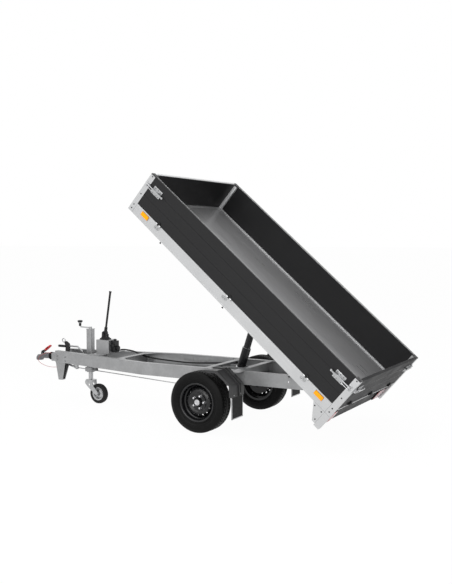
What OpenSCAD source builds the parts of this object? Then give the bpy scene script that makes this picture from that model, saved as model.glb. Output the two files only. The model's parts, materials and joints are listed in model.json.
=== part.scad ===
// Single axle dump trailer with a hand-pumped telescopic cylinder, stored with its bed raised.
// The origin is the tow ball's centre: X runs rearwards, Y to the trailer's right, Z up.

/* [Stance] */
// Distance from the ball's centre back to the axle
axle_x = 2440; // [2300:10:2600]
// Height of the ball's centre above the ground
ball_h = 430; // [415:5:445]
// Tilt of the bed as stored
bed_tilt = 40.9; // [30:0.1:45]

/* [Bed] */
// Outer length of the bed
bed_len = 2620; // [2400:10:2800]
// Outer width of the bed
bed_w = 1560; // [1500:10:1700]
// Height of the aluminium rails round the floor
rail_h = 99; // [90:1:120]
// Depth of a rail, from its outer face inwards
rail_d = 40; // [30:1:50]
// Height of the boards above the rails
board_h = 306; // [250:1:400]
// Thickness of a board
board_t = 25; // [20:1:30]
// Wall of the hollow board and rail profiles
profile_t = 2.5; // [2:0.5:4]
// Size of a corner post along the bed
post_s = 55; // [45:1:70]
// Size of a corner post across the bed
post_y = 52; // [45:1:60]
// How far a rear post reaches below the rails
post_drop = 150; // [120:5:170]
// Depth of the floor's face below the rails' top
floor_drop = 9; // [5:1:20]
// Thickness of the floor sheet
floor_t = 4; // [2:0.5:6]
// Height of the bed's subframe under the rails
sub_h = 62; // [50:1:64]
// Half the spacing of the subframe's long members
sub_y = 295; // [280:5:296]
// How far the lamp panel stands in from the bed's rear end
panel_in = 30; // [20:1:40]

/* [Bed hinge] */
// Distance of the hinge behind the axle
hinge_x = 942; // [930:1:980]
// Height of the hinge above the ground
hinge_z = 545; // [530:1:560]
// Distance of the hinge ahead of the bed's rear end
hinge_s = 443; // [400:1:500]
// Depth of the hinge below the rails' underside
hinge_drop = 69; // [66:1:80]
// Radius of the hinge pins
hinge_pin_r = 12; // [8:0.5:16]

/* [Chassis] */
// Height of a chassis beam
beam_h = 120; // [100:5:140]
// Width of a beam's flanges
beam_flange = 50; // [40:1:60]
// Wall of a beam
beam_t = 4; // [3:0.5:6]
// Half the outer width of the chassis behind the bend
beam_y = 380; // [360:5:400]
// Half the outer width of the chassis at its front end
nose_y = 120; // [100:5:140]
// Rear end of the beams behind the axle
beam_rear = 905; // [880:5:910]
// Distance of the beams' bend ahead of the axle
bend_x = 800; // [700:10:900]
// Distance of the beams' front end ahead of the axle
nose_x = 2120; // [2000:10:2150]

/* [Wheels] */
// Distance between the wheels' centre planes
track = 1196; // [1180:2:1220]
// Outer diameter of a tyre
tyre_d = 555; // [540:1:570]
// Width of a tyre
tyre_w = 185; // [165:1:190]
// Radius of the rim's flanges
rim_r = 178; // [172:1:184]
// Width of the rim over its flanges
rim_w = 150; // [140:1:156]
// Distance of the wheel's mounting face outside its centre plane
wheel_offset = 30; // [20:1:35]
// Circle of the wheel bolts
bolt_circle = 112; // [98:1:114]
// Radius of the stub axles
stub_r = 20; // [16:1:24]

/* [Cylinder] */
// Distance of the cylinder's trunnion behind the axle
trunnion_x = 70; // [60:1:80]
// Height of the cylinder's trunnion above the ground
trunnion_z = 450; // [440:1:460]
// Distance of the rod's eye ahead of the bed's rear end
eye_s = 1320; // [1310:1:1330]
// Depth of the rod's eye below the rails' underside
eye_drop = 45; // [40:1:46]
// Outer radius of the barrel
barrel_r = 48; // [46:0.5:52]
// Radius of the first stage
stage_1_r = 41; // [40:0.5:42]
// Radius of the second stage
stage_2_r = 33; // [31:0.5:34]
// Radius of the rod
rod_r = 24; // [20:0.5:25]
// Stroke that each of the three stages adds at full reach
stage_stroke = 219; // [210:1:225]

/* [Jockey wheel] */
// Distance of the jack ahead of the axle
jack_x = 1730; // [1700:5:1760]
// Side of the jack's square tube
jack_w = 66; // [60:1:70]
// Height of the jack tube's top above the ground
jack_top = 790; // [760:5:820]
// Outer radius of the jack's inner tube
jack_inner_r = 24; // [20:1:26]
// Outer radius of the jockey wheel
jockey_r = 106; // [100:1:112]
// Width of the jockey wheel
jockey_w = 60; // [50:1:70]
// How far the jockey wheel trails behind the jack
jockey_trail = 108; // [90:1:110]

/* [Clearances] */
// Radial clearance of a pin in its hole
pin_gap = 0.05; // [0.01:0.01:0.1]
// Gap between a board and the posts and rail round it
board_gap = 4; // [3:1:6]

/* [Hidden] */
$fn = 48;

// Half sizes and levels of the bed, in its own frame
half_w = bed_w / 2;
bed_top = rail_h + board_h;
floor_z = rail_h - floor_drop;
side_len = bed_len - 2 * post_s;
wheel_z = tyre_d / 2;
wheel_y = track / 2;
mount_y = wheel_y + wheel_offset;

// Chassis levels and the slant of the drawbar
deck_z = hinge_z;
beam_bottom = deck_z - beam_h;
slant = atan((beam_y - nose_y) / (nose_x - bend_x));

// Board hinges
board_hinge_out = 9;
knuckle_r = 7;
knuckle_pin_r = 3;
knuckle_len = 60;
hinge_places = [0.12, 0.5, 0.88];

// Cylinder: distance from trunnion to eye as stored, and its lean
eye_dx = hinge_x + (hinge_s - eye_s) * cos(bed_tilt) + (hinge_drop - eye_drop) * sin(bed_tilt) - trunnion_x;
eye_dz = hinge_z - (hinge_s - eye_s) * sin(bed_tilt) + (hinge_drop - eye_drop) * cos(bed_tilt) - trunnion_z;
eye_reach = norm([eye_dx, eye_dz]);
cylinder_lean = atan2(eye_dx, eye_dz);
shut_reach = norm([hinge_x + hinge_s - eye_s - trunnion_x, hinge_z + hinge_drop - eye_drop - trunnion_z]);
stage_step = (eye_reach - shut_reach) / 3;
barrel_top = 70;
barrel_bottom = -(stage_stroke + 15);
stage_head = 8;

// Frames of reference
module trailer() { translate([axle_x, 0, -ball_h]) children(); }
module bed() {
    trailer() translate([hinge_x, 0, hinge_z]) rotate([0, bed_tilt, 0])
        translate([hinge_s, 0, hinge_drop]) children();
}
module cylinder_line() { trailer() translate([trunnion_x, 0, trunnion_z]) rotate([0, cylinder_lean, 0]) children(); }
module both_sides() { children(); mirror([0, 1, 0]) children(); }

// A box from low to high corners
module block(low, high) { translate(low) cube(high - low); }
// A cylinder along Y between two places
module bar_y(r, y0, y1) { translate([0, y0, 0]) rotate([-90, 0, 0]) cylinder(r = r, h = y1 - y0); }
module bar_x(r, x0, x1) { translate([x0, 0, 0]) rotate([0, 90, 0]) cylinder(r = r, h = x1 - x0); }
// A plan outline with rounded corners
module round_rect(x, y, r) {
    union() {
        square([x - 2 * r, y], center = true);
        square([x, y - 2 * r], center = true);
        for (i = [-1, 1], j = [-1, 1]) translate([i * (x / 2 - r), j * (y / 2 - r)]) circle(r);
    }
}

// Plan line of a chassis beam at a distance inside its outer face
function beam_line(inset) = [
    [beam_rear, beam_y - inset],
    [-bend_x + inset * tan(slant / 2), beam_y - inset],
    [-nose_x, nose_y - inset / cos(slant)]];
function flip(points) = [for (i = [len(points) - 1:-1:0]) points[i]];
function inner_half(x) = x > -bend_x ? beam_y - beam_t : nose_y + (nose_x + x) * tan(slant) - beam_t / cos(slant);

module beam_band(from_in, to_in, z0, z1) {
    translate([0, 0, z0]) linear_extrude(z1 - z0) polygon(concat(beam_line(from_in), flip(beam_line(to_in))));
}
module between_beams(z0, z1) {
    line = beam_line(beam_t);
    translate([0, 0, z0]) linear_extrude(z1 - z0)
        polygon(concat(line, flip([for (p = line) [p.x, -p.y]])));
}

module drawbar_beams() {
    color("silver") trailer() both_sides() difference() {
        union() {
            beam_band(0, beam_t, beam_bottom, deck_z);
            beam_band(0, beam_flange, beam_bottom, beam_bottom + beam_t);
            beam_band(0, beam_flange, deck_z - beam_t, deck_z);
        }
        for (x = rear_hole_x) translate([x, beam_y, deck_z - beam_h / 2]) bar_y(rear_hole_r, -10, 10);
    }
}
rear_hole_x = [770, 870];
rear_hole_r = 6.5;

// Cross beams: place of each one's middle and its width along the chassis
cross_w = 60;
cross_x = [-1180, -100, 230, 850];
// Where the hose passes through the cross beams
hose_holes = [[-1208, 203.6, 522.4], [-128, 305.9, 503.9]];
hose_hole_r = 12;
gusset = 130;
module cross_beams() {
    color("silver") trailer() for (x = cross_x) intersection() {
        between_beams(beam_bottom + beam_t, deck_z - beam_t);
        union() {
            difference() {
                block([x - cross_w / 2, -beam_y, beam_bottom], [x + cross_w / 2, beam_y, deck_z]);
                for (h = hose_holes) translate(h) rotate([0, 90, 0]) cylinder(r = hose_hole_r, h = 10, center = true);
                block([x - cross_w / 2 + beam_t, -beam_y - 1, beam_bottom + 2 * beam_t],
                      [x + cross_w / 2 + 1, beam_y + 1, deck_z - 2 * beam_t]);
            }
            if (x == cross_x[0]) both_sides() translate([x + cross_w / 2 - 1, 0, deck_z - 2 * beam_t])
                linear_extrude(beam_t) polygon([[0, inner_half(x) + 40], [0, inner_half(x) - gusset], [gusset, inner_half(x) + 40]]);
        }
    }
}

// Liner plates stiffen the beams' webs from inside, ahead of the axle: each has a front and rear end
liner_t = 4;
// Columns: front end, rear end, how far the edges stand in from the flanges
liner_places = [[-790, -676, 0], [-674, -200, 6]];
liner_hole_x = [-733, -522];
liner_hole_r = 9;
liner_window = [-462, -260];
liner_window_r = 22;
module beam_liners() {
    color("gainsboro") trailer() both_sides() difference() {
        translate([0, beam_y - beam_t - liner_t, 0]) {
            for (p = liner_places)
                block([p[0], 0, beam_bottom + beam_t + p[2]], [p[1], liner_t, deck_z - beam_t - p[2]]);
        }
        for (x = liner_hole_x) translate([x, beam_y - 20, deck_z - beam_h / 2]) bar_y(liner_hole_r, 0, 30);
        for (x = liner_window) translate([x, beam_y - 20, deck_z - beam_h / 2]) bar_y(liner_window_r, 0, 30);
        block([liner_window[0], beam_y - 20, deck_z - beam_h / 2 - liner_window_r],
              [liner_window[1], beam_y, deck_z - beam_h / 2 + liner_window_r]);
    }
}

// The cradle's two plates hold the trunnion pins between two cross beams
cradle_in = 62;
cradle_t = 12;
trunnion_r = 16;
module cylinder_cradle() {
    x0 = cross_x[1] + cross_w / 2;
    x1 = cross_x[2] - cross_w / 2;
    color("silver") trailer() both_sides() difference() {
        block([x0, cradle_in, trunnion_z - 40], [x1, cradle_in + cradle_t, deck_z - 20]);
        translate([trunnion_x, 0, trunnion_z]) bar_y(trunnion_r + pin_gap, cradle_in - 1, cradle_in + cradle_t + 1);
    }
}

// Ears welded to the beams' rear ends hold the bed's hinge pins
ear_r = 26;
ear_t = 8;
lug_t = 18;
ear_gap = 5;
ear_y = beam_y - beam_flange;
lug_y = ear_y + ear_t + ear_gap;
module hinge_brackets() {
    color("silver") trailer() both_sides() {
        for (y = [ear_y, lug_y + lug_t + ear_gap]) {
            translate([hinge_x, 0, hinge_z]) bar_y(ear_r, y, y + ear_t);
            block([beam_rear, y, beam_bottom], [hinge_x, y + ear_t, hinge_z]);
        }
        translate([hinge_x, 0, hinge_z]) bar_y(hinge_pin_r, ear_y, lug_y + lug_t + ear_gap + ear_t + 6);
    }
}

// Rubber torsion axle: square tube, trailing arms and stubs
axle_tube_x = -125;
axle_tube_z = 345;
axle_tube_w = 70;
arm_t = 32;
arm_in = 188;
axle_tube_end = mount_y - arm_in;
module axle_tube() {
    color("silver") trailer() {
        difference() {
            translate([axle_tube_x, 0, axle_tube_z]) cube([axle_tube_w, 2 * axle_tube_end, axle_tube_w], center = true);
            translate([axle_tube_x, 0, axle_tube_z])
                cube([axle_tube_w - 12, 2 * axle_tube_end + 2, axle_tube_w - 12], center = true);
        }
        block([rod_x1, rod_y - 20, rod_z1 - 16], [rod_x1 + 6, rod_y + 20, axle_tube_z - axle_tube_w / 2]);
        block([rod_x1, rod_y - 20, axle_tube_z - axle_tube_w / 2 - 6],
              [axle_tube_x, rod_y + 20, axle_tube_z - axle_tube_w / 2]);
        both_sides() block([axle_tube_x - 60, beam_y - beam_flange, axle_tube_z + axle_tube_w / 2],
                           [axle_tube_x + 60, beam_y, beam_bottom]);
    }
}
module axle_arms() {
    color("dimgray") trailer() both_sides() {
        translate([0, axle_tube_end, 0]) rotate([90, 0, 0]) mirror([0, 0, 1]) linear_extrude(arm_t) {
            translate([axle_tube_x, axle_tube_z]) circle(38);
            translate([0, wheel_z]) circle(34);
            arm_outline();
        }
        translate([0, 0, wheel_z]) bar_y(stub_r, axle_tube_end + arm_t, mount_y + 12);
    }
    brake_plates();
}
module arm_outline() {
    a = atan2(wheel_z - axle_tube_z, -axle_tube_x);
    n = [-sin(a), cos(a)];
    p = [axle_tube_x, axle_tube_z];
    q = [0, wheel_z];
    polygon([p + 36 * n, q + 32 * n, q - 32 * n, p - 36 * n]);
}

drum_r = 105;
plate_y = mount_y - 80;
module brake_plates() {
    color("dimgray") trailer() both_sides() translate([0, 0, wheel_z]) difference() {
        union() {
            bar_y(drum_r + 6, plate_y, plate_y + 4);
            bar_y(36, axle_tube_end + arm_t, plate_y);
        }
        bar_y(stub_r, axle_tube_end + arm_t - 1, plate_y + 5);
    }
}

// Mudguards cover the top and rear of each wheel
guard_in = wheel_y - 108;
guard_out = wheel_y + 122;
guard_t = 4;
guard_top = tyre_d + 35;
guard_lip = 24;
guard_rib = 9;
// The guard's side line: top, slope and rear, from the front edge round to the flap
function guard_line(t) = [[125, guard_top - t], [wheel_z - 42 - t / 2, guard_top - t],
                          [wheel_z + 104 - t, wheel_z + 186], [wheel_z + 110 - t, wheel_z + 84]];
module guard_band(from_t, to_t, y0, y1) {
    translate([0, y1, 0]) rotate([90, 0, 0]) linear_extrude(y1 - y0)
        polygon(concat(guard_line(from_t), flip(guard_line(to_t))));
}
module guard_shape(side) {
    color("#1c1c1c") trailer() mirror([0, side < 0 ? 1 : 0, 0]) {
        guard_band(0, guard_t, guard_in, guard_out);
        guard_band(guard_t, guard_lip, guard_out - guard_t, guard_out);
        guard_band(guard_t, guard_lip, guard_in, guard_in + guard_t);
        for (y = [guard_in + 52, guard_in + 84]) guard_band(-guard_rib, 1, y, y + 18);
    }
}
module mudguard_left() { guard_shape(-1); }
module mudguard_right() { guard_shape(1); }
flap_bottom = 168;
// Plates over the beams carry the guards, with a rod to each flap
bracket_x = [250, 330];
bracket_t = 5;
module mudguard_brackets() {
    color("silver") trailer() both_sides() {
        block([bracket_x[0], beam_y, deck_z - 60], [bracket_x[1], beam_y + bracket_t, guard_top - 40]);
        block([bracket_x[0], beam_y + bracket_t, guard_top - 40 - bracket_t], [bracket_x[1], guard_in, guard_top - 40]);
        block([bracket_x[0] - 20, guard_in - bracket_t, guard_top - 110], [bracket_x[0] + 14, guard_in, guard_top - 40]);
    }
}
module mud_flaps() {
    color("#1c1c1c") trailer() both_sides() {
        block([wheel_z + 106, guard_in + 24, flap_bottom], [wheel_z + 110, guard_out - 4, wheel_z + 84]);
    }
}

// Overrun housing bolted between the beams' front ends
housing_half = 55;
housing_front = 2228;
housing_rear = 1930;
shaft_r = 25;
shaft_z = 465;
module overrun_housing() {
    color("silver") trailer() {
        difference() {
            union() {
                block([-housing_front, -housing_half, shaft_z - 45], [-housing_rear, housing_half, shaft_z + 40]);
                both_sides() block([-2100, housing_half, beam_bottom + beam_t + 4],
                                   [-2000, inner_half(-2100), beam_bottom + beam_t + 14]);
            }
            translate([0, 0, shaft_z]) bar_x(shaft_r, -housing_front - 1, -housing_rear - 30);
        }
        block([rod_x0 - 6, rod_y - 20, rod_z0 - 16], [rod_x0, rod_y + 20, shaft_z - 45]);
    }
}
shaft_start = 78;
module coupling_shaft() {
    color("gray") trailer() translate([0, 0, shaft_z]) bar_x(shaft_r, -axle_x + shaft_start, -housing_rear - 60);
}
socket_r = 25.2;
// The head narrows from the socket's dome to the tube that clamps the shaft
head_tube_r = 32;
head_dome_r = 40;
head_dome_h = 26;
module coupling_head() {
    color("dimgray") difference() {
        union() {
            translate([0, 0, -18]) cylinder(r1 = head_dome_r - 4, r2 = head_dome_r, h = 8);
            translate([0, 0, -10]) cylinder(r = head_dome_r, h = 22);
            translate([0, 0, 12]) cylinder(r1 = head_dome_r, r2 = 26, h = head_dome_h);
            hull() {
                translate([0, 0, -8]) cylinder(r = 30, h = 36, $fn = 32);
                translate([70, 0, shaft_z - ball_h]) rotate([0, 90, 0]) cylinder(r = head_tube_r - 2, h = 12, $fn = 32);
            }
            translate([0, 0, shaft_z - ball_h]) bar_x(head_tube_r, 80, 150);
            block([24, -14, 20], [52, 14, 59]);
        }
        translate([0, 0, -19]) cylinder(r = socket_r, h = 31);
        translate([0, 0, 11.99]) cylinder(r1 = socket_r, r2 = 12, h = 14);
        translate([0, 0, shaft_z - ball_h]) bar_x(shaft_r, shaft_start, 151);
        for (x = [100, 130]) translate([x, 0, shaft_z - ball_h]) bar_y(5, -40, 40);
    }
}
// The release lever sweeps up and back, its grip's end rounded
lever_line = [[42, 74], [74, 88], [108, 115], [148, 142]];
lever_r = [13, 11, 12, 9];
module coupling_lever() {
    color("firebrick") union() {
        block([26, -12, 59], [52, 12, 72]);
        for (i = [0:2]) hull() for (j = [i, i + 1])
            translate([lever_line[j].x, 0, lever_line[j].y]) bar_y(lever_r[j], -11, 11);
    }
}
bellow_folds = 5;
bellow_pitch = 11;
module bellows() {
    color("#222222") trailer() translate([-housing_front, 0, shaft_z]) rotate([0, -90, 0]) difference() {
        rotate_extrude() polygon(concat([[shaft_r, 0], [34, 0]],
            [for (i = [0:bellow_folds - 1], k = [[42, 0.35], [42, 0.65], [33, 1]]) [k[0], (i + k[1]) * bellow_pitch]],
            [[shaft_r, bellow_folds * bellow_pitch]]));
        translate([0, 0, -1]) cylinder(r = shaft_r, h = 80);
    }
}
// Handbrake: ratchet plates, black grip ahead, loop above, and the tube that returns to the beam
brake_y = 40;
module handbrake() {
    color("#222222") trailer() {
        translate([0, brake_y + 5, 0]) rotate([90, 0, 0]) linear_extrude(10)
            polygon([[-2108, shaft_z + 40], [-2062, shaft_z + 40], [-2040, 585], [-2056, 612], [-2092, 634], [-2122, 622], [-2106, 575]]);
        translate([0, brake_y, 576]) bar_x(13, -2198, -2104);
        translate([-2198, brake_y, 576]) sphere(r = 13);
        translate([-2050, brake_y, 582]) bar_x(8, 0, 112);
        translate([-1938, brake_y, 582]) sphere(r = 8);
        translate([-1938, brake_y, 582]) rotate([0, 128, 0]) cylinder(r = 8, h = 96);
        translate([-1863, brake_y, beam_bottom + beam_t + 14]) cylinder(r = 8, h = 94);
        translate([-2132, brake_y, 640]) rotate([90, 0, 0]) rotate([0, 0, 40]) rotate_extrude() translate([20, 0]) circle(5, $fn = 16);
    }
}
// A folded steel foot, open to the rear
foot_z = 215;
foot_top = shaft_z - 45;
module drawbar_foot() {
    color("gray") trailer() difference() {
        hull() {
            translate([-2180, -42, foot_top - 6]) cube([132, 84, 6]);
            translate([-2158, -24, foot_z]) cube([54, 48, 6]);
        }
        hull() {
            translate([-2172, -36, foot_top - 20]) cube([132, 72, 1]);
            translate([-2152, -18, foot_z + 8]) cube([60, 36, 1]);
        }
    }
}
rod_x0 = -1958;
rod_x1 = -184;
rod_y = 56;
rod_z0 = 350;
rod_z1 = 262;
// The brake's reversing lever and its damper hang under the housing
linkage_top = shaft_z - 45.3;
module brake_linkage() {
    color("gray") trailer() {
        translate([0, rod_y - 21, 0]) rotate([90, 0, 0]) linear_extrude(6)
            polygon([[-2010, linkage_top], [-1955, linkage_top], [-1935, 352], [-1970, 340]]);
        translate([-2040, rod_y - 24, 376]) rotate([0, 104, 0]) cylinder(r = 11, h = 72);
        translate([-2045, rod_y - 24, 376]) bar_y(7, -22, 10);
        block([-2046, rod_y - 34, 370], [-2034, rod_y - 24, linkage_top]);
    }
}
module brake_rod() {
    color("silver") trailer() translate([rod_x0, rod_y, rod_z0])
        rotate([0, atan2(rod_z0 - rod_z1, rod_x1 - rod_x0), 0]) bar_x(5, 0, norm([rod_x1 - rod_x0, rod_z0 - rod_z1]));
}

// Jack: square tube held by a clamp on a plate between the beams
jack_bottom = 330;
module jack_tube() {
    color("silver") trailer() translate([-jack_x, 0, jack_bottom]) difference() {
        linear_extrude(jack_top - jack_bottom) round_rect(jack_w, jack_w, 10);
        translate([0, 0, -1]) cylinder(r = jack_inner_r + pin_gap, h = jack_top - jack_bottom - 10);
    }
}
clamp_pin_r = 7;
collar_w = 12;
module jack_clamp() {
    color("silver") trailer() difference() {
        union() {
            intersection() {
                between_beams(beam_bottom + beam_t, beam_bottom + beam_t + 60);
                block([-jack_x - 60, -beam_y, 0], [-jack_x + 60, beam_y, 600]);
            }
            translate([-jack_x, 0, jack_bottom + 8]) linear_extrude(44) round_rect(jack_w + 2 * collar_w, jack_w + 2 * collar_w, 8);
            translate([-jack_x + jack_w / 2 + collar_w, 0, jack_bottom + 30]) bar_x(clamp_pin_r, 0, 26);
            translate([-jack_x + jack_w / 2 + collar_w + 26, 0, jack_bottom + 30]) bar_x(15, 0, 16);
        }
        translate([-jack_x, 0, 300]) linear_extrude(400) round_rect(jack_w, jack_w, 10);
    }
}
crank_arm = 140;
module jack_crank() {
    color("silver") trailer() translate([-jack_x, 0, jack_top]) {
        cylinder(r = 17, h = 22);
        translate([0, 0, 14]) bar_x(6, -crank_arm + 14, 0);
        translate([-crank_arm + 14, 0, 14]) sphere(r = 7);
        translate([-crank_arm + 14, 0, 14]) rotate([0, -45, 0]) cylinder(r = 6, h = 18);
        translate([-crank_arm, 0, 24]) rotate_extrude() polygon([[0, 0], [12, 0], [13, 26], [24, 44], [27, 52], [24, 60], [0, 62]]);
    }
}

// Pump: oil tank on a carrier across the drawbar, pump with its clevis and handle, and the lowering valve
tank_x = -1517;
tank_len = 166;
tank_w = 150;
tank_h = 138;
carrier_len = 140;
carrier_t = 6;
tank_top = deck_z + carrier_t + tank_h;
pump_x = -1532;
pivot_z = tank_top + 68;
handle_lean = 9;
handle_len = 440;
module pump_tank() {
    half = inner_half(tank_x - carrier_len / 2) + beam_t;
    color("silver") trailer() {
        block([tank_x - carrier_len / 2, -half, deck_z], [tank_x + carrier_len / 2, half, deck_z + carrier_t]);
        translate([tank_x, 0, deck_z + carrier_t]) linear_extrude(tank_h) round_rect(tank_len, tank_w, 8);
    }
}
module hand_pump() {
    color("#222222") trailer() {
        translate([pump_x, 0, tank_top]) linear_extrude(14) round_rect(100, 76, 10);
        translate([pump_x, 0, tank_top + 14]) linear_extrude(10) round_rect(80, 60, 10);
        translate([pump_x + 26, 0, tank_top + 24]) cylinder(r = 15, h = 34);
        both_sides() translate([pump_x, 22, 0]) rotate([90, 0, 0]) linear_extrude(9) {
            polygon([[-34, tank_top + 24], [-12, tank_top + 24], [2, pivot_z], [-30, pivot_z]]);
            translate([-14, pivot_z]) circle(16);
        }
        translate([pump_x - 14, 0, pivot_z]) bar_y(8, -30, 30);
        translate([pump_x, 0, pivot_z]) {
            bar_y(26, -12, 12);
            rotate([0, handle_lean, 0]) {
                cylinder(r = 17, h = 60);
                cylinder(r = 11, h = handle_len);
                translate([0, 0, handle_len - 6]) cylinder(r = 14, h = 12);
            }
        }
    }
}
valve_x = tank_x + tank_len / 2;
module pump_valve() {
    color("#222222") trailer() {
        block([valve_x, -34, deck_z + carrier_t + 14], [valve_x + 52, 34, tank_top - 6]);
        translate([valve_x + 52, 0, deck_z + 62]) bar_x(24, 0, 24);
        translate([valve_x + 26, 0, tank_top - 6]) cylinder(r = 13, h = 18);
        translate([valve_x + 34, -34, deck_z + 90]) bar_y(15, -16, 0);
        translate([hose_route[0].x, 34, hose_route[0].z]) bar_y(11, 0, 27.8);
    }
}

// A tube swept along points: each ring stands square to the line through its neighbours
sweep_side = [0.03, 0.38, 1];
function unit(v) = v / norm(v);
function at_step(points, t) = let(i = min(floor(t), len(points) - 2), f = t - i,
    p0 = points[max(i - 1, 0)], p1 = points[i], p2 = points[i + 1], p3 = points[min(i + 2, len(points) - 1)])
    0.5 * (2 * p1 + (p2 - p0) * f + (2 * p0 - 5 * p1 + 4 * p2 - p3) * f * f + (3 * p1 - 3 * p2 + p3 - p0) * f * f * f);
module sweep_tube(points, r, rings, sides) {
    line = [for (k = [0:rings]) at_step(points, k * (len(points) - 1) / rings)];
    across = [for (k = [0:rings]) let(d = unit(line[min(k + 1, rings)] - line[max(k - 1, 0)])) unit(cross(d, sweep_side))];
    along = [for (k = [0:rings]) unit(line[min(k + 1, rings)] - line[max(k - 1, 0)])];
    vertices = [for (k = [0:rings], a = [0:sides - 1])
        line[k] + r * (cos(360 * a / sides) * across[k] + sin(360 * a / sides) * cross(along[k], across[k]))];
    sides_faces = [for (k = [0:rings - 1], a = [0:sides - 1])
        let(b = (a + 1) % sides) [k * sides + a, k * sides + b, (k + 1) * sides + b, (k + 1) * sides + a]];
    polyhedron(vertices, concat(sides_faces, [[for (a = [sides - 1:-1:0]) a]],
        [[for (a = [0:sides - 1]) rings * sides + a]]), convexity = 10);
}

// The oil hose: from the valve, along the right beam and over to the trunnion
hose_r = 8;
hose_route = [[-1408, 62, 577], [-1405, 90, 576.6], [-1380, 140, 574], [-1300, 185, 556], [-1200, 205, 520], [-1080, 225, 494],
              [-900, 275, 474], [-700, 316, 462], [-500, 330, 470], [-300, 332, 486], [-170, 320, 500], [-60, 270, 508],
              [20, 200, 500], [60, 150, 476], [70, 118, 455], [70, 96, 450]];
module hydraulic_hose() {
    color("#222222") trailer() {
        sweep_tube(hose_route, hose_r, 42, 10);
        translate([trunnion_x, 0, trunnion_z]) bar_y(12, cradle_in + cradle_t + 2.3, hose_route[15].y - 0.2);
    }
}

// The breakaway cable: a loose loop from the housing's eye, round the head and back to the foot
cable_r = 2;
cable_route = [[-2228.4, -30, 498], [-2246, -33, 500], [-2276, -42, 504], [-2310, -48, 500], [-2350, -50, 484],
               [-2390, -50, 464], [-2420, -48, 440], [-2424, -48, 416], [-2404, -50, 394], [-2370, -50, 376],
               [-2330, -48, 362], [-2290, -44, 353], [-2250, -38, 348], [-2210, -30, 348], [-2173.5, -24, 352]];
module breakaway_cable() {
    color("firebrick") trailer() sweep_tube(cable_route, cable_r, 44, 8);
}

// Wheels
module wheel_at(side) { trailer() mirror([0, side < 0 ? 1 : 0, 0]) translate([0, wheel_y, wheel_z]) rotate([-90, 0, 0]) children(); }
seat_r = rim_r - 16;
half_rim = rim_w / 2;
// A radius at a share of the tyre's section height
function tyre_at(share) = rim_r + share * (tyre_d / 2 - rim_r);
module tyre_shape(side) {
    color("#1a1a1a") wheel_at(side) rotate_extrude($fn = 72) difference() {
        tyre_half() polygon([[seat_r, -1], [seat_r, half_rim - 4], [rim_r + 2, half_rim - 4], [tyre_at(0.12), half_rim + 4],
                 [tyre_at(0.42), tyre_w / 2], [tyre_at(0.7), tyre_w / 2 - 5], [tyre_at(0.94), tyre_w / 2 - 18],
                 [tyre_d / 2, tyre_w / 2 - 34], [tyre_d / 2, -1]]);
        tyre_half() polygon([[seat_r - 1, -2], [seat_r - 1, half_rim - 22], [tyre_at(0.26), tyre_w / 2 - 14],
                 [tyre_at(0.86), tyre_w / 2 - 24], [tyre_at(0.86), -2]]);
    }
}
module tyre_half() { children(); mirror([0, 1]) children(); }
module tyre_left() { tyre_shape(-1); }
module tyre_right() { tyre_shape(1); }
rim_t = 4;
stud_r = 6;
well_r = seat_r - 22;
hub_bore_r = 33;
module rim_shape(side) {
    color("#202020") wheel_at(side) difference() {
        rotate_extrude($fn = 72) union() {
            polygon([[seat_r, -half_rim + 4], [rim_r, -half_rim + 4], [rim_r, -half_rim], [seat_r - rim_t, -half_rim],
                     [seat_r - rim_t, -half_rim + 24], [well_r - rim_t, -half_rim + 40], [well_r - rim_t, 10],
                     [seat_r - rim_t, 28], [seat_r - rim_t, half_rim], [rim_r, half_rim], [rim_r, half_rim - 4],
                     [seat_r, half_rim - 4], [seat_r, 26], [well_r, 8], [well_r, -half_rim + 38], [seat_r, -half_rim + 22]]);
            polygon([[hub_bore_r, wheel_offset], [80, wheel_offset], [100, wheel_offset + 14], [126, wheel_offset + 10],
                     [well_r - rim_t + 1, wheel_offset - 42], [well_r - rim_t + 1, wheel_offset - 30], [128, wheel_offset + 15],
                     [99, wheel_offset + 19], [78, wheel_offset + 5], [hub_bore_r, wheel_offset + 5]]);
        }
        for (i = [0:4]) rotate([0, 0, 72 * i]) translate([bolt_circle / 2, 0, wheel_offset - 1]) cylinder(r = stud_r + 1, h = 12);
        for (i = [0:9]) rotate([0, 0, 36 * i + 18]) translate([116, 0, wheel_offset - 30]) cylinder(r = 9, h = 60);
    }
}
module rim_left() { rim_shape(-1); }
module rim_right() { rim_shape(1); }
module hub_shape(side) {
    color("dimgray") wheel_at(side) difference() {
        union() {
            translate([0, 0, wheel_offset - 68]) cylinder(r = drum_r, h = 68);
            cylinder(r = hub_bore_r, h = wheel_offset + 34);
            for (i = [0:4]) rotate([0, 0, 72 * i]) translate([bolt_circle / 2, 0, wheel_offset - 4]) {
                cylinder(r = stud_r, h = 26);
                translate([0, 0, 9]) cylinder(r = 11, h = 14, $fn = 6);
            }
        }
        translate([0, 0, wheel_offset - 69]) cylinder(r = drum_r - 8, h = 52);
        translate([0, 0, wheel_offset - 69]) cylinder(r = stub_r + pin_gap, h = 84);
    }
}
module hub_left() { hub_shape(-1); }
module hub_right() { hub_shape(1); }

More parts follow.
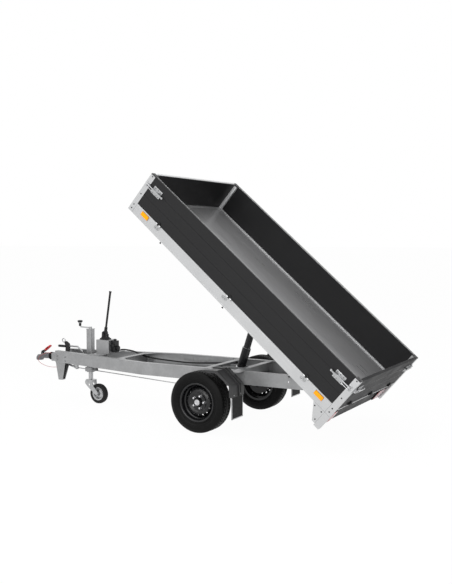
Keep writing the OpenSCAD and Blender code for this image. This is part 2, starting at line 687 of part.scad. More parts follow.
// Jockey wheel: inner tube slides in the jack, the fork swivels on it
fork_top = 250;
module jockey() { trailer() translate([-jack_x, 0, 0]) children(); }
module jack_inner_tube() {
    color("silver") jockey() translate([0, 0, fork_top + 6]) difference() {
        cylinder(r = jack_inner_r, h = 440);
        translate([0, 0, -1]) cylinder(r = 10 + pin_gap, h = 30);
        translate([0, 0, 40]) cylinder(r = jack_inner_r - 4, h = 401);
    }
}
fork_in = jockey_w / 2 + 5;
fork_t = 5;
fork_nose = 48;
module jockey_fork() {
    color("silver") jockey() {
        translate([0, 0, fork_top]) cylinder(r = 10, h = 28);
        translate([0, 0, fork_top - 6]) linear_extrude(6) round_rect(2 * fork_nose - 8, 2 * (fork_in + fork_t), 10);
        both_sides() translate([0, fork_in + fork_t, 0]) rotate([90, 0, 0]) linear_extrude(fork_t) difference() {
            union() {
                polygon([[-fork_nose, fork_top - 22], [-fork_nose + 10, fork_top], [fork_nose - 4, fork_top], [fork_nose, fork_top - 50],
                         [jockey_trail + 15, jockey_r + 12], [jockey_trail - 13, jockey_r - 14], [-6, 168], [-fork_nose + 2, fork_top - 44]]);
                translate([jockey_trail, jockey_r]) circle(19);
            }
            translate([6, fork_top - 52]) circle(10);
        }
        translate([jockey_trail, 0, jockey_r]) bar_y(8, -fork_in - fork_t - 8, fork_in + fork_t + 8);
        both_sides() translate([jockey_trail, 0, jockey_r]) bar_y(14, fork_in + fork_t, fork_in + fork_t + 8);
    }
}
jockey_rim_r = 70;
module jockey_tyre() {
    color("#1a1a1a") jockey() translate([jockey_trail, 0, jockey_r]) rotate([90, 0, 0]) rotate_extrude()
        polygon([[jockey_rim_r, -jockey_w / 2 + 6], [jockey_r - 14, -jockey_w / 2], [jockey_r - 3, -jockey_w / 2 + 10], [jockey_r, 0],
                 [jockey_r - 3, jockey_w / 2 - 10], [jockey_r - 14, jockey_w / 2], [jockey_rim_r, jockey_w / 2 - 6]]);
}
module jockey_rim() {
    color("gray") jockey() translate([jockey_trail, 0, jockey_r]) difference() {
        union() {
            rotate([-90, 0, 0]) rotate_extrude() polygon([[12, -31], [20, -31], [24, -10], [44, -4], [56, -20], [jockey_rim_r, -24],
                [jockey_rim_r, 24], [56, 20], [44, 8], [24, 10], [20, 31], [12, 31]]);
            bar_y(18, -jockey_w / 2 - 2, jockey_w / 2 + 2);
        }
        bar_y(8 + pin_gap, -50, 50);
        for (i = [0:4]) rotate([0, 72 * i, 0]) translate([36, 0, 0]) bar_y(7, -40, 40);
    }
}

// Telescopic cylinder on its trunnion, each stage drawn out by its share of the stroke
module cylinder_barrel() {
    color("#222222") cylinder_line() difference() {
        union() {
            translate([0, 0, barrel_bottom]) cylinder(r = barrel_r, h = barrel_top - barrel_bottom);
            translate([0, 0, -22]) cylinder(r = barrel_r + 6, h = 44);
            both_sides() bar_y(trunnion_r, barrel_r - 2, cradle_in + cradle_t + 2);
        }
        translate([0, 0, barrel_bottom + 8]) cylinder(r = stage_1_r + pin_gap, h = 400);
    }
}
module stage(r, inner_r, out, bottom) {
    translate([0, 0, out]) difference() {
        translate([0, 0, bottom]) cylinder(r = r, h = barrel_top - bottom);
        if (inner_r > 0) translate([0, 0, bottom + 6]) cylinder(r = inner_r + pin_gap, h = 500);
    }
}
module cylinder_stage_1() {
    color("#222222") cylinder_line() stage(stage_1_r, stage_2_r, stage_step, barrel_bottom + 12);
}
module cylinder_stage_2() {
    color("#222222") cylinder_line() stage(stage_2_r, rod_r, 2 * stage_step + stage_head, barrel_bottom + 14);
}
module cylinder_rod() {
    color("gray") cylinder_line() {
        translate([0, 0, 3 * stage_step + barrel_bottom + 34]) cylinder(r = rod_r, h = eye_reach - 3 * stage_step - barrel_bottom - 34);
        translate([0, 0, eye_reach]) bar_y(25, -20, 20);
    }
}

// Bed, in its own frame: X is 0 at the rear end and runs to -bed_len at the front
module bed_floor() {
    color("silver") bed() difference() {
        block([-bed_len + rail_d, -half_w + rail_d, floor_z - floor_t], [-panel_in - 4, half_w - rail_d, floor_z]);
        for (i = [-1, 1]) {
            translate([-bed_len / 2 + i * (bed_len / 2 - post_s / 2), 0, 0]) both_sides()
                block([-post_s / 2 - 1, half_w - post_y, 0], [post_s / 2 + 1, half_w, rail_h]);
        }
    }
}
sub_w = 50;
sub_t = 4;
end_in = 120;
bay = (bed_len - end_in - hinge_s) / 4;
bearer_s = [110, for (i = [0:4]) hinge_s + i * bay];
bearer_h = floor_z - floor_t;
lug_x = -hinge_s;
member_in = 80;
module bed_members() {
    color("silver") bed() both_sides() difference() {
        block([-bed_len + member_in, sub_y - sub_w / 2, -sub_h], [-member_in, sub_y + sub_w / 2, 0]);
        block([-bed_len, sub_y - sub_w / 2 + sub_t, -sub_h + sub_t], [0, sub_y + sub_w / 2 - sub_t, -sub_t]);
    }
}
module bed_bearers() {
    color("silver") bed() {
        for (s = bearer_s) difference() {
            block([-s - 30, -half_w + rail_d, 0], [-s + 30, half_w - rail_d, bearer_h]);
            block([-s - 30 + sub_t, -half_w + rail_d - 1, sub_t], [-s + 30 - sub_t, half_w - rail_d + 1, bearer_h - sub_t]);
        }
        both_sides() difference() {
            union() {
                translate([lug_x, 0, -hinge_drop]) bar_y(ear_r, lug_y, lug_y + lug_t);
                block([lug_x - ear_r, lug_y, -hinge_drop], [lug_x + ear_r, lug_y + lug_t, 0]);
            }
            translate([lug_x, 0, -hinge_drop]) bar_y(hinge_pin_r + pin_gap, lug_y - 1, lug_y + lug_t + 1);
        }
    }
    rod_bracket();
}
module rod_bracket() {
    color("silver") bed() {
        both_sides() {
            block([-eye_s - 50, 26, -eye_drop - 25], [-eye_s + 50, 34, 0]);
            translate([-eye_s, 0, -eye_drop]) bar_y(16, 34, 42);
            block([-eye_s - 50, 26, -10], [-eye_s + 50, sub_y - sub_w / 2, 0]);
        }
    }
}

module rail_profile() {
    difference() {
        polygon([[0, 0], [0, rail_h], [-rail_d, rail_h], [-rail_d, 0]]);
        polygon([[-profile_t, profile_t], [-profile_t, rail_h - profile_t],
                 [-rail_d + profile_t, rail_h - profile_t], [-rail_d + profile_t, profile_t]]);
    }
}
module bed_rails() {
    color("gainsboro") bed() {
        both_sides() {
            translate([-post_s, half_w, 0]) rotate([90, 0, -90]) linear_extrude(side_len) mirror([1, 0]) rail_profile();
            for (f = hinge_places) translate([-post_s - f * side_len, half_w, rail_h]) hinge_fixed();
        }
        translate([-bed_len, half_w - post_y, 0]) rotate([90, 0, 0])
            linear_extrude(bed_w - 2 * post_y) mirror([1, 0]) rail_profile();
    }
}
// A board's hinge: two knuckles with a pin on the rail, one on the board
module hinge_fixed() {
    translate([0, board_hinge_out, 0]) {
        for (i = [-1, 1]) translate([i * knuckle_len / 3, 0, 0]) {
            bar_x(knuckle_r, -knuckle_len / 6 + 1, knuckle_len / 6 - 1);
            block([-knuckle_len / 6 + 1, -board_hinge_out, -16], [knuckle_len / 6 - 1, -2, 0]);
        }
        bar_x(knuckle_pin_r, -knuckle_len / 2 + 1, knuckle_len / 2 - 1);
    }
}
module hinge_moving() {
    translate([0, board_hinge_out, 0]) difference() {
        union() {
            bar_x(knuckle_r, -knuckle_len / 6, knuckle_len / 6);
            block([-knuckle_len / 6, -board_hinge_out, 0], [knuckle_len / 6, -2, 24]);
        }
        bar_x(knuckle_pin_r + pin_gap, -knuckle_len, knuckle_len);
    }
}

module corner_posts() {
    color("gainsboro") bed() both_sides() {
        for (end = [[-bed_len, 0], [-post_s, -post_drop]]) difference() {
            block([end[0], half_w - post_y, end[1]], [end[0] + post_s, half_w, bed_top]);
            block([end[0] + 3, half_w - post_y + 3, end[1] - 1], [end[0] + post_s - 3, half_w - 3, bed_top - 3]);
        }
        translate([0, half_w, 0]) rotate([90, 0, 0]) linear_extrude(4)
            polygon([[-post_s, 0], [-184, 0], [-87, -133], [-post_s, -133]]);
        at_side_latches() keeper();
    }
    color("gainsboro") bed() {
        at_gate_latches() keeper();
        at_front_latches() keeper();
    }
}

// A board's section: three hollow planks with a groove at each joint
plank_h = board_h / 3;
groove = 2;
module board_section() {
    difference() {
        square([board_t, board_h - board_gap]);
        for (i = [0:2]) translate([profile_t, i * plank_h + profile_t])
            square([board_t - 2 * profile_t, plank_h - 2 * profile_t - (i == 2 ? board_gap : 0)]);
        for (i = [1, 2]) translate([-1, i * plank_h - groove / 2]) square([groove + 1, groove]);
    }
}
module side_board(side) {
    color("#303030") bed() mirror([0, side < 0 ? 1 : 0, 0]) {
        translate([-post_s - board_gap, half_w, rail_h + board_gap]) rotate([90, 0, -90])
            linear_extrude(side_len - 2 * board_gap) board_section();
        for (f = hinge_places) translate([-post_s - f * side_len, half_w, rail_h]) hinge_moving();
    }
}
module side_board_left() { side_board(-1); }
module side_board_right() { side_board(1); }
front_half = half_w - post_y;
module front_board() {
    color("#303030") bed() translate([-bed_len, front_half, rail_h]) rotate([90, 0, 0])
        linear_extrude(2 * front_half) board_section();
}
gate_half = front_half - board_gap;
gate_hinge_y = [-0.7, 0, 0.7];
module tailgate() {
    color("#303030") bed() {
        translate([0, -gate_half, rail_h + board_gap]) rotate([90, 0, 180])
            linear_extrude(2 * gate_half) board_section();
        for (f = gate_hinge_y) translate([0, f * gate_half, rail_h]) rotate([0, 0, -90]) hinge_moving();
    }
}
module lamp_panel() {
    color("#303030") bed() {
        block([-panel_in - 4, -front_half, -post_drop + 3], [-panel_in, front_half, floor_z]);
        block([-panel_in - 4, -front_half, floor_z - 20], [0, front_half, rail_h]);
        for (f = gate_hinge_y) translate([0, f * gate_half, rail_h]) rotate([0, 0, -90]) hinge_fixed();
    }
}
lamp_w = 200;
lamp_h = 130;
module rear_lamps() {
    color("firebrick") bed() both_sides()
        block([-panel_in, front_half - lamp_w - 4, -post_drop + 10], [-panel_in + 14, front_half - 4, -post_drop + 10 + lamp_h]);
}
reflector_s = [180, bed_len - 190];
module side_reflectors() {
    color("orange") bed() both_sides() for (s = reflector_s)
        block([-s - 47, half_w, 45], [-s + 47, half_w + 7, 85]);
}
tie_h = 66;
tie_s = [369, bed_len / 2 + 36, bed_len - 357];
module oval(x, r) {
    square([2 * x, 2 * r], center = true);
    for (i = [-1, 1]) translate([i * x, 0]) circle(r);
}
module tie_rings() {
    color("silver") bed() both_sides() for (s = tie_s) translate([-s, half_w, tie_h]) rotate([-90, 0, 0]) difference() {
        linear_extrude(4) oval(16, 15);
        translate([0, 0, 1]) linear_extrude(4) oval(14, 9);
    }
}

// An over-centre latch lying along X: a base plate, side cheeks, a long tapered lever and a hook bolt
module latch() {
    difference() {
        block([-128, -12, 0], [-18, 30, 3]);
        for (x = [-112, -88, -40]) translate([x, 20, -1]) cylinder(r = 3.5, h = 6);
    }
    for (y = [-12, 5]) block([-96, y, 3], [-22, y + 3, 17]);
    translate([-26, 0, 10]) bar_y(4, -14, 10);
    translate([0, 0, 17]) linear_extrude(6)
        polygon([[-24, -13], [-24, 9], [-112, 6], [-158, -1], [-166, -6], [-160, -10], [-112, -12]]);
    block([-30, -6, 8.5], [keeper_at + 13, 0, 15]);
}
latch_h = 300;
latch_in = 20;
keeper_at = latch_in + board_gap + 3;
module at_side_latches() {
    translate([-post_s - board_gap - latch_in, half_w, latch_h]) rotate([-90, 0, 0]) children();
    translate([-bed_len + post_s + board_gap + latch_in, half_w, latch_h]) mirror([1, 0, 0]) rotate([-90, 0, 0]) children();
}
module at_gate_latches() { both_sides() translate([0, gate_half - latch_in, latch_h]) rotate([90, 0, 90]) children(); }
module at_front_latches() {
    both_sides() translate([-bed_len, gate_half - latch_in, latch_h]) mirror([1, 0, 0]) rotate([90, 0, 90]) children();
}
module latch_pair(side) { color("silver") bed() mirror([0, side < 0 ? 1 : 0, 0]) at_side_latches() latch(); }
module latches_left() { latch_pair(-1); }
module latches_right() { latch_pair(1); }
// The hook's keeper, a drilled plate with a lip, in the latch's own frame
module keeper() {
    difference() {
        block([keeper_at, -26, 0], [keeper_at + 24, 26, 3]);
        translate([keeper_at + 12, 16, -1]) cylinder(r = 3.5, h = 6);
    }
    block([keeper_at + 19, -10, 2], [keeper_at + 24, 4, 17]);
}
module tailgate_latches() { color("silver") bed() at_gate_latches() latch(); }
module front_latches() { color("silver") bed() at_front_latches() latch(); }

drawbar_beams();
cross_beams();
beam_liners();
cylinder_cradle();
hinge_brackets();
axle_tube();
axle_arms();
mudguard_left();
mudguard_right();
mudguard_brackets();
mud_flaps();
overrun_housing();
coupling_shaft();
coupling_head();
coupling_lever();
bellows();
handbrake();
drawbar_foot();
breakaway_cable();
brake_linkage();
brake_rod();
jack_tube();
jack_clamp();
jack_crank();
pump_tank();
hand_pump();
pump_valve();
hydraulic_hose();
tyre_left();
rim_left();
hub_left();
tyre_right();
rim_right();
hub_right();
jack_inner_tube();
jockey_fork();
jockey_tyre();
jockey_rim();
cylinder_barrel();
cylinder_stage_1();
cylinder_stage_2();
cylinder_rod();
bed_floor();
bed_members();
bed_bearers();
bed_rails();
corner_posts();
front_board();
lamp_panel();
rear_lamps();
side_reflectors();
tie_rings();
front_latches();
side_board_left();
side_board_right();
latches_left();
latches_right();
tailgate();
tailgate_latches();
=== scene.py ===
# Looks of the single axle dump trailer: finishes, small pieces, floor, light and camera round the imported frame.
import json
import math

import bpy
from mathutils import Matrix, Vector


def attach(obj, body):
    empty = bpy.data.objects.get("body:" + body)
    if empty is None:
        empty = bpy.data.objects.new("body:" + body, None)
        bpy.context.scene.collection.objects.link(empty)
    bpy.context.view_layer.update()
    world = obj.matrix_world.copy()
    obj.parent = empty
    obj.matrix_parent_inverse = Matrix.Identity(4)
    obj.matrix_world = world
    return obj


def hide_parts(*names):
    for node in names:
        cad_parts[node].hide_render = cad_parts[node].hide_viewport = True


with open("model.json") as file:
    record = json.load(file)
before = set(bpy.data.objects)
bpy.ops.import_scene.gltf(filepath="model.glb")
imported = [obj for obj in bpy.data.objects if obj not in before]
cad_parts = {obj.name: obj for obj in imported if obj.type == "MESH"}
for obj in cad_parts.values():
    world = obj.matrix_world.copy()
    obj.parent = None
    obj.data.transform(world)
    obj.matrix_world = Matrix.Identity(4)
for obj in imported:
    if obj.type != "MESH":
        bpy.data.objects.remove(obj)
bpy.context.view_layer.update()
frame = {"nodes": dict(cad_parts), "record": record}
scene = bpy.context.scene

# Where the axle stands on the ground, seen from the tow ball
AXLE_X = 2.440
GROUND_Z = -0.430
BED_TILT = math.radians(40.9)

# Camera: its place from the axle's foot, its heading and pitch, and its lens on a 36 mm frame
CAMERA_PLACE = (3.859, -6.968, 1.727)
CAMERA_HEADING = math.radians(29.446)
CAMERA_PITCH = math.radians(-3.537)
CAMERA_LENS = 51.32


def at(x, y, z):
    """A place given from the axle's foot on the ground, in the row frame."""
    return Vector((x + AXLE_X, y, z + GROUND_Z))


def make_camera():
    """The camera of the photo."""
    data = bpy.data.cameras.new("camera")
    data.sensor_fit = "VERTICAL"
    data.sensor_height = 36.0
    data.lens = CAMERA_LENS
    data.clip_end = 500.0
    obj = bpy.data.objects.new("camera", data)
    scene.collection.objects.link(obj)
    obj.location = at(*CAMERA_PLACE)
    obj.rotation_euler = (math.radians(90.0) + CAMERA_PITCH, 0.0, CAMERA_HEADING)
    scene.camera = obj


make_camera()


# Finishes
NOISE_ROUGHNESS = 0.55
# The colour sockets of a Mix node: first and second colour, and the result
MIX_FIRST, MIX_SECOND, MIX_RESULT = 6, 7, 2


class Finish:
    """A node material built up on Object coordinates."""

    def __init__(self, name, colour, roughness, metallic=0.0, **sockets):
        self.mat = bpy.data.materials.new(name)
        self.mat.use_nodes = True
        self.nodes = self.mat.node_tree.nodes
        self.links = self.mat.node_tree.links
        self.shader = self.nodes["Principled BSDF"]
        self.colour = (*colour, 1.0)
        self.shader.inputs["Base Color"].default_value = self.colour
        self.shader.inputs["Roughness"].default_value = roughness
        self.shader.inputs["Metallic"].default_value = metallic
        for socket, value in sockets.items():
            self.shader.inputs[socket.replace("_", " ")].default_value = value
        self.roughness = roughness
        self.coords = self.nodes.new("ShaderNodeTexCoord")
        self.colour_out = None

    def mapped(self, stretch=(1, 1, 1), tilt=0.0):
        """Object coordinates turned about Y and stretched, so that a grain can follow the raised bed."""
        turn = self.nodes.new("ShaderNodeMapping")
        turn.inputs["Rotation"].default_value = (0.0, -tilt, 0.0)
        size = self.nodes.new("ShaderNodeMapping")
        size.inputs["Scale"].default_value = stretch
        self.links.new(self.coords.outputs["Object"], turn.inputs["Vector"])
        self.links.new(turn.outputs["Vector"], size.inputs["Vector"])
        return size.outputs["Vector"]

    def noise(self, vector, scale, detail=4.0):
        node = self.nodes.new("ShaderNodeTexNoise")
        node.inputs["Scale"].default_value = scale
        node.inputs["Detail"].default_value = detail
        node.inputs["Roughness"].default_value = NOISE_ROUGHNESS
        self.links.new(vector, node.inputs["Vector"])
        return node.outputs["Fac"]

    def cells(self, vector, scale):
        node = self.nodes.new("ShaderNodeTexVoronoi")
        node.inputs["Scale"].default_value = scale
        self.links.new(vector, node.inputs["Vector"])
        return node.outputs["Color"]

    def spread(self, value, low, high, from_low=0.3, from_high=0.7):
        node = self.nodes.new("ShaderNodeMapRange")
        node.inputs["From Min"].default_value = from_low
        node.inputs["From Max"].default_value = from_high
        node.inputs["To Min"].default_value = low
        node.inputs["To Max"].default_value = high
        self.links.new(value, node.inputs["Value"])
        return node.outputs["Result"]

    def tint(self, factor, colour, strength=1.0):
        """Mixes a second colour in where the factor is high."""
        node = self.nodes.new("ShaderNodeMix")
        node.data_type = "RGBA"
        if strength < 1.0:
            factor = self.spread(factor, 0.0, strength, 0.0, 1.0)
        self.links.new(factor, node.inputs["Factor"])
        if self.colour_out is None:
            node.inputs[MIX_FIRST].default_value = self.colour
        else:
            self.links.new(self.colour_out, node.inputs[MIX_FIRST])
        node.inputs[MIX_SECOND].default_value = (*colour, 1.0)
        self.colour_out = node.outputs[MIX_RESULT]
        self.links.new(self.colour_out, self.shader.inputs["Base Color"])

    def vary_roughness(self, factor, amount):
        value = self.spread(factor, self.roughness - amount, self.roughness + amount)
        self.links.new(value, self.shader.inputs["Roughness"])

    def bump(self, height, strength, distance=0.001):
        node = self.nodes.new("ShaderNodeBump")
        node.inputs["Strength"].default_value = strength
        node.inputs["Distance"].default_value = distance
        self.links.new(height, node.inputs["Height"])
        self.links.new(node.outputs["Normal"], self.shader.inputs["Normal"])


def galvanised_steel():
    """Zinc spangle: large soft crystals, cloudy patches and a slightly rough skin."""
    f = Finish("galvanised_steel", (0.345, 0.348, 0.352), 0.44, 0.8)
    crystals = f.cells(f.mapped(), 55.0)
    clouds = f.noise(f.mapped(), 7.0)
    f.tint(crystals, (0.43, 0.435, 0.44), 0.55)
    f.tint(f.spread(clouds, 0.0, 0.5), (0.27, 0.272, 0.276))
    f.vary_roughness(clouds, 0.10)
    f.bump(f.noise(f.mapped(), 160.0), 0.25, 0.0004)
    return f.mat


def brushed_aluminium():
    """Anodised rails and posts, brushed along the bed."""
    f = Finish("brushed_aluminium", (0.60, 0.605, 0.61), 0.40, 0.9)
    lines = f.noise(f.mapped((1.5, 260.0, 260.0), BED_TILT), 1.0, 3.0)
    f.tint(f.spread(lines, 0.0, 0.5), (0.52, 0.525, 0.53))
    f.tint(f.spread(f.noise(f.mapped(), 5.0), 0.0, 0.25), (0.44, 0.445, 0.45))
    f.vary_roughness(lines, 0.07)
    f.bump(lines, 0.12, 0.0003)
    return f.mat


def black_board(name, stretch, level, gloss, contrast):
    """Satin black coating on the boards, with a fine grain along them."""
    f = Finish(name, (level, level, level * 1.05), 0.42, 0.0, Specular_IOR_Level=gloss)
    grain = f.noise(f.mapped(stretch, BED_TILT), 1.0, 3.0)
    f.tint(f.spread(grain, 0.0, contrast), (level * 1.4, level * 1.4, level * 1.5))
    f.vary_roughness(f.noise(f.mapped(), 6.0), 0.06)
    f.bump(f.noise(f.mapped(), 900.0, 2.0), 0.10, 0.0003)
    return f.mat


def floor_sheet():
    """The load floor's brushed sheet, dulled and scuffed along the bed."""
    f = Finish("floor_sheet", (0.34, 0.34, 0.345), 0.34, 0.60)
    lines = f.noise(f.mapped((2.0, 140.0, 140.0), BED_TILT), 1.0, 4.0)
    scuffs = f.noise(f.mapped((1.0, 6.0, 6.0), BED_TILT), 1.6, 5.0)
    f.tint(f.spread(lines, 0.0, 0.5), (0.27, 0.27, 0.275))
    f.tint(f.spread(scuffs, 0.0, 0.35), (0.23, 0.23, 0.235))
    f.vary_roughness(scuffs, 0.07)
    f.bump(lines, 0.10, 0.0003)
    return f.mat


def plain_finish(name, colour, second, roughness, metallic, scale, bump, **sockets):
    """A finish of two near tones, cloudy at one scale, with a fine skin."""
    f = Finish(name, colour, roughness, metallic, **sockets)
    clouds = f.noise(f.mapped(), scale)
    f.tint(f.spread(clouds, 0.0, 0.6), second)
    f.vary_roughness(clouds, min(0.08, roughness * 0.4))
    f.bump(f.noise(f.mapped(), scale * 12.0, 2.0), bump, 0.0004)
    return f.mat


FINISHES = {
    "galvanised": galvanised_steel(),
    "aluminium": brushed_aluminium(),
    "black_board": black_board("black_board", (3.0, 220.0, 220.0), 0.010, 0.26, 0.5),
    "cross_board": black_board("cross_board", (220.0, 3.0, 220.0), 0.010, 0.20, 0.3),
    # Tailgate and lamp panel: the board coating with its sheen taken away and a lighter tone, painted light that
    # stands in for the light and sheen the tailgate shows.
    "gate_board_lit": black_board("gate_board_lit", (220.0, 3.0, 220.0), 0.022, 0.03, 0.2),
    "floor": floor_sheet(),
    "black_plastic": plain_finish("black_plastic", (0.010, 0.010, 0.011), (0.015, 0.015, 0.016), 0.42, 0.0, 40.0, 0.2,
                                   Specular_IOR_Level=0.30),
    "black_steel": plain_finish("black_steel", (0.008, 0.008, 0.009), (0.014, 0.014, 0.015), 0.30, 0.0, 20.0, 0.08,
                                 Specular_IOR_Level=0.32),
    "rubber": plain_finish("rubber", (0.010, 0.010, 0.010), (0.016, 0.016, 0.016), 0.60, 0.0, 45.0, 0.25,
                            Specular_IOR_Level=0.20),
    "tyre": plain_finish("tyre_rubber", (0.005, 0.005, 0.005), (0.009, 0.009, 0.009), 0.50, 0.0, 30.0, 0.2,
                          Specular_IOR_Level=0.09),
    # Mudguards: a glossier black plastic whose lighter tone is painted sheen, standing in for the light on the
    # guards' rounded faces.
    "guard_plastic_sheen": plain_finish("guard_plastic_sheen", (0.022, 0.022, 0.023), (0.026, 0.026, 0.027), 0.36, 0.0, 8.0, 0.02,
                                   Specular_IOR_Level=0.50),
    # pale_edge: a pale grey for the sill's teeth, and for the strips of painted highlight on the ledges and inner
    # front corners.
    "pale_edge": plain_finish("pale_edge", (0.66, 0.665, 0.67), (0.58, 0.585, 0.59), 0.45, 0.25, 30.0, 0.05),
    "black_rim": plain_finish("black_rim", (0.006, 0.006, 0.007), (0.010, 0.010, 0.011), 0.24, 0.0, 18.0, 0.05,
                              Specular_IOR_Level=0.40),
    "bright_steel": plain_finish("bright_steel", (0.60, 0.60, 0.61), (0.48, 0.48, 0.50), 0.22, 1.0, 30.0, 0.06),
    "zinc": plain_finish("zinc_plate", (0.50, 0.505, 0.51), (0.32, 0.325, 0.33), 0.30, 0.95, 35.0, 0.08),
    "cast": plain_finish("dark_casting", (0.13, 0.13, 0.135), (0.20, 0.20, 0.21), 0.45, 0.6, 60.0, 0.3),
    "red_cable": plain_finish("coated_wire", (0.40, 0.05, 0.04), (0.30, 0.04, 0.03), 0.35, 0.0, 200.0, 0.1),
    "red_lens": plain_finish("red_lens", (0.42, 0.008, 0.012), (0.30, 0.004, 0.008), 0.12, 0.0, 60.0, 0.05,
                             Coat_Weight=1.0),
    "clear_lens": plain_finish("clear_lens", (0.60, 0.42, 0.48), (0.46, 0.30, 0.35), 0.16, 0.0, 60.0, 0.05,
                               Coat_Weight=0.4),
    "dark_lens": plain_finish("dark_lens", (0.16, 0.004, 0.006), (0.10, 0.002, 0.004), 0.12, 0.0, 60.0, 0.05,
                              Coat_Weight=1.0),
    "red_lever": plain_finish("red_moulding", (0.55, 0.012, 0.014), (0.42, 0.008, 0.010), 0.38, 0.0, 40.0, 0.1),
    "amber_lens": plain_finish("amber_lens", (1.0, 0.40, 0.0), (0.90, 0.28, 0.0), 0.25, 0.0, 90.0, 0.1,
                               Specular_IOR_Level=0.25),
}


# Nodes that look otherwise than the finish of their slot
NODE_LOOKS = {"tailgate": "gate_board_lit", "front_board": "cross_board", "lamp_panel": "gate_board_lit",
              "hub_left": "black_rim", "hub_right": "black_rim",
              "mudguard_left": "guard_plastic_sheen", "mudguard_right": "guard_plastic_sheen"}


def dress_frame():
    """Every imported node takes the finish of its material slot, or its own look."""
    slots = {part["node"]: part["material_slot"] for part in frame["record"]["subparts"]}
    for name, obj in frame["nodes"].items():
        obj.data.materials.clear()
        obj.data.materials.append(FINISHES[NODE_LOOKS.get(name, slots[name])])


dress_frame()


# Making of pieces: each call works on one new object, the only one selected
BED = (Matrix.Translation(at(0.942, 0.0, 0.545)) @ Matrix.Rotation(BED_TILT, 4, "Y")
       @ Matrix.Translation((0.443, 0.0, 0.069)))


SOFT_ABOVE = math.radians(30.0)


def mm(x, y, z):
    """A place in millimetres from the axle's foot, in the row frame."""
    return at(x / 1000.0, y / 1000.0, z / 1000.0)


def flat(x, y, z):
    """A place in millimetres in the bed's own frame, before it is raised."""
    return Vector((x, y, z)) / 1000.0


def only(obj):
    """Selects this object alone."""
    bpy.ops.object.select_all(action="DESELECT")
    obj.select_set(True)
    bpy.context.view_layer.objects.active = obj
    return obj


def settle(obj, matrix=None):
    """Moves the object by the matrix and puts its place in its mesh."""
    only(obj)
    if matrix is not None:
        obj.matrix_world = matrix @ obj.matrix_world
    bpy.ops.object.transform_apply(location=True, rotation=True, scale=True)
    return obj


def block(low, high, soft=0.0, rounds=2):
    """A block between two corners, its edges softened."""
    low, high = Vector(low), Vector(high)
    bpy.ops.object.select_all(action="DESELECT")
    bpy.ops.mesh.primitive_cube_add(size=1.0, location=(low + high) / 2.0, scale=high - low)
    obj = settle(bpy.context.object)
    if soft:
        soften(obj, soft, rounds)
    return obj


def rod(start, end, radius, sides=24, soft=0.0):
    """A round bar from one point to another."""
    start, end = Vector(start), Vector(end)
    line = end - start
    bpy.ops.object.select_all(action="DESELECT")
    bpy.ops.mesh.primitive_cylinder_add(vertices=sides, radius=radius, depth=line.length,
                                        location=(start + end) / 2.0,
                                        rotation=line.to_track_quat("Z", "Y").to_euler())
    obj = settle(bpy.context.object)
    if soft:
        soften(obj, soft, 2)
    return obj


def soften(obj, width, rounds=2):
    """Rounds every edge sharper than SOFT_ABOVE."""
    only(obj)
    bpy.ops.object.modifier_add(type="BEVEL")
    bevel = obj.modifiers[-1]
    bevel.width = width
    bevel.segments = rounds
    bevel.limit_method = "ANGLE"
    bevel.angle_limit = SOFT_ABOVE
    bpy.ops.object.modifier_apply(modifier=bevel.name)
    return obj


def pick(obj, test):
    """Goes into edit mode with only the faces selected whose centre and normal pass the test."""
    only(obj)
    mesh = obj.data
    for group in (mesh.vertices, mesh.edges):
        for item in group:
            item.select = False
    for face in mesh.polygons:
        face.select = bool(test(face.center, face.normal))
    bpy.ops.object.mode_set(mode="EDIT")
    bpy.ops.mesh.select_mode(type="FACE")


def done():
    bpy.ops.object.mode_set(mode="OBJECT")


def sink(obj, test, margin, depth):
    """Insets the picked faces and pushes them in, where depth is below 0."""
    pick(obj, test)
    bpy.ops.mesh.inset(thickness=margin, depth=depth)
    done()
    return obj


def line_of(points):
    """A new object whose mesh is one open line, drawn by extruding its first point along the rest."""
    bpy.ops.object.select_all(action="DESELECT")
    bpy.ops.mesh.primitive_plane_add(size=0.001, location=(0.0, 0.0, 0.0))
    obj = bpy.context.object
    bpy.ops.object.mode_set(mode="EDIT")
    bpy.ops.mesh.select_mode(type="VERT")
    bpy.ops.mesh.select_all(action="SELECT")
    bpy.ops.mesh.merge(type="CENTER")
    bpy.ops.transform.translate(value=Vector(points[0]))
    for a, b in zip(points, points[1:]):
        bpy.ops.mesh.extrude_region_move(TRANSFORM_OT_translate={"value": Vector(b) - Vector(a)})
    return obj


def turned(profile, steps):
    """A round piece: the profile's (out, along) points in millimetres spun once round Z."""
    points = [(r / 1000.0, 0.0, z / 1000.0) for r, z in profile]
    obj = line_of([*points, points[0]])
    bpy.ops.mesh.select_all(action="SELECT")
    bpy.ops.mesh.remove_doubles(threshold=0.00001)
    bpy.ops.mesh.select_all(action="SELECT")
    bpy.ops.mesh.spin(steps=steps, angle=2.0 * math.pi, center=(0.0, 0.0, 0.0), axis=(0.0, 0.0, 1.0))
    bpy.ops.mesh.select_all(action="SELECT")
    bpy.ops.mesh.remove_doubles(threshold=0.00005)
    bpy.ops.mesh.normals_make_consistent(inside=False)
    done()
    return obj


def slab(outline, thick, soft=0.0, rounds=2):
    """A plate: the outline's (x, y) points in millimetres, filled and pulled up along Z."""
    obj = line_of([(x / 1000.0, y / 1000.0, 0.0) for x, y in outline])
    bpy.ops.mesh.select_all(action="SELECT")
    bpy.ops.mesh.edge_face_add()
    bpy.ops.mesh.select_mode(type="FACE")
    bpy.ops.mesh.select_all(action="SELECT")
    bpy.ops.mesh.extrude_region_move(TRANSFORM_OT_translate={"value": (0.0, 0.0, thick / 1000.0)})
    bpy.ops.mesh.select_all(action="SELECT")
    bpy.ops.mesh.normals_make_consistent(inside=False)
    done()
    if soft:
        soften(obj, soft / 1000.0, rounds)
    return obj


def copy_of(pattern, matrix=None):
    """A copy of the pattern, moved by the matrix where there is one."""
    only(pattern)
    bpy.ops.object.duplicate()
    return bpy.context.object if matrix is None else settle(bpy.context.object, matrix)


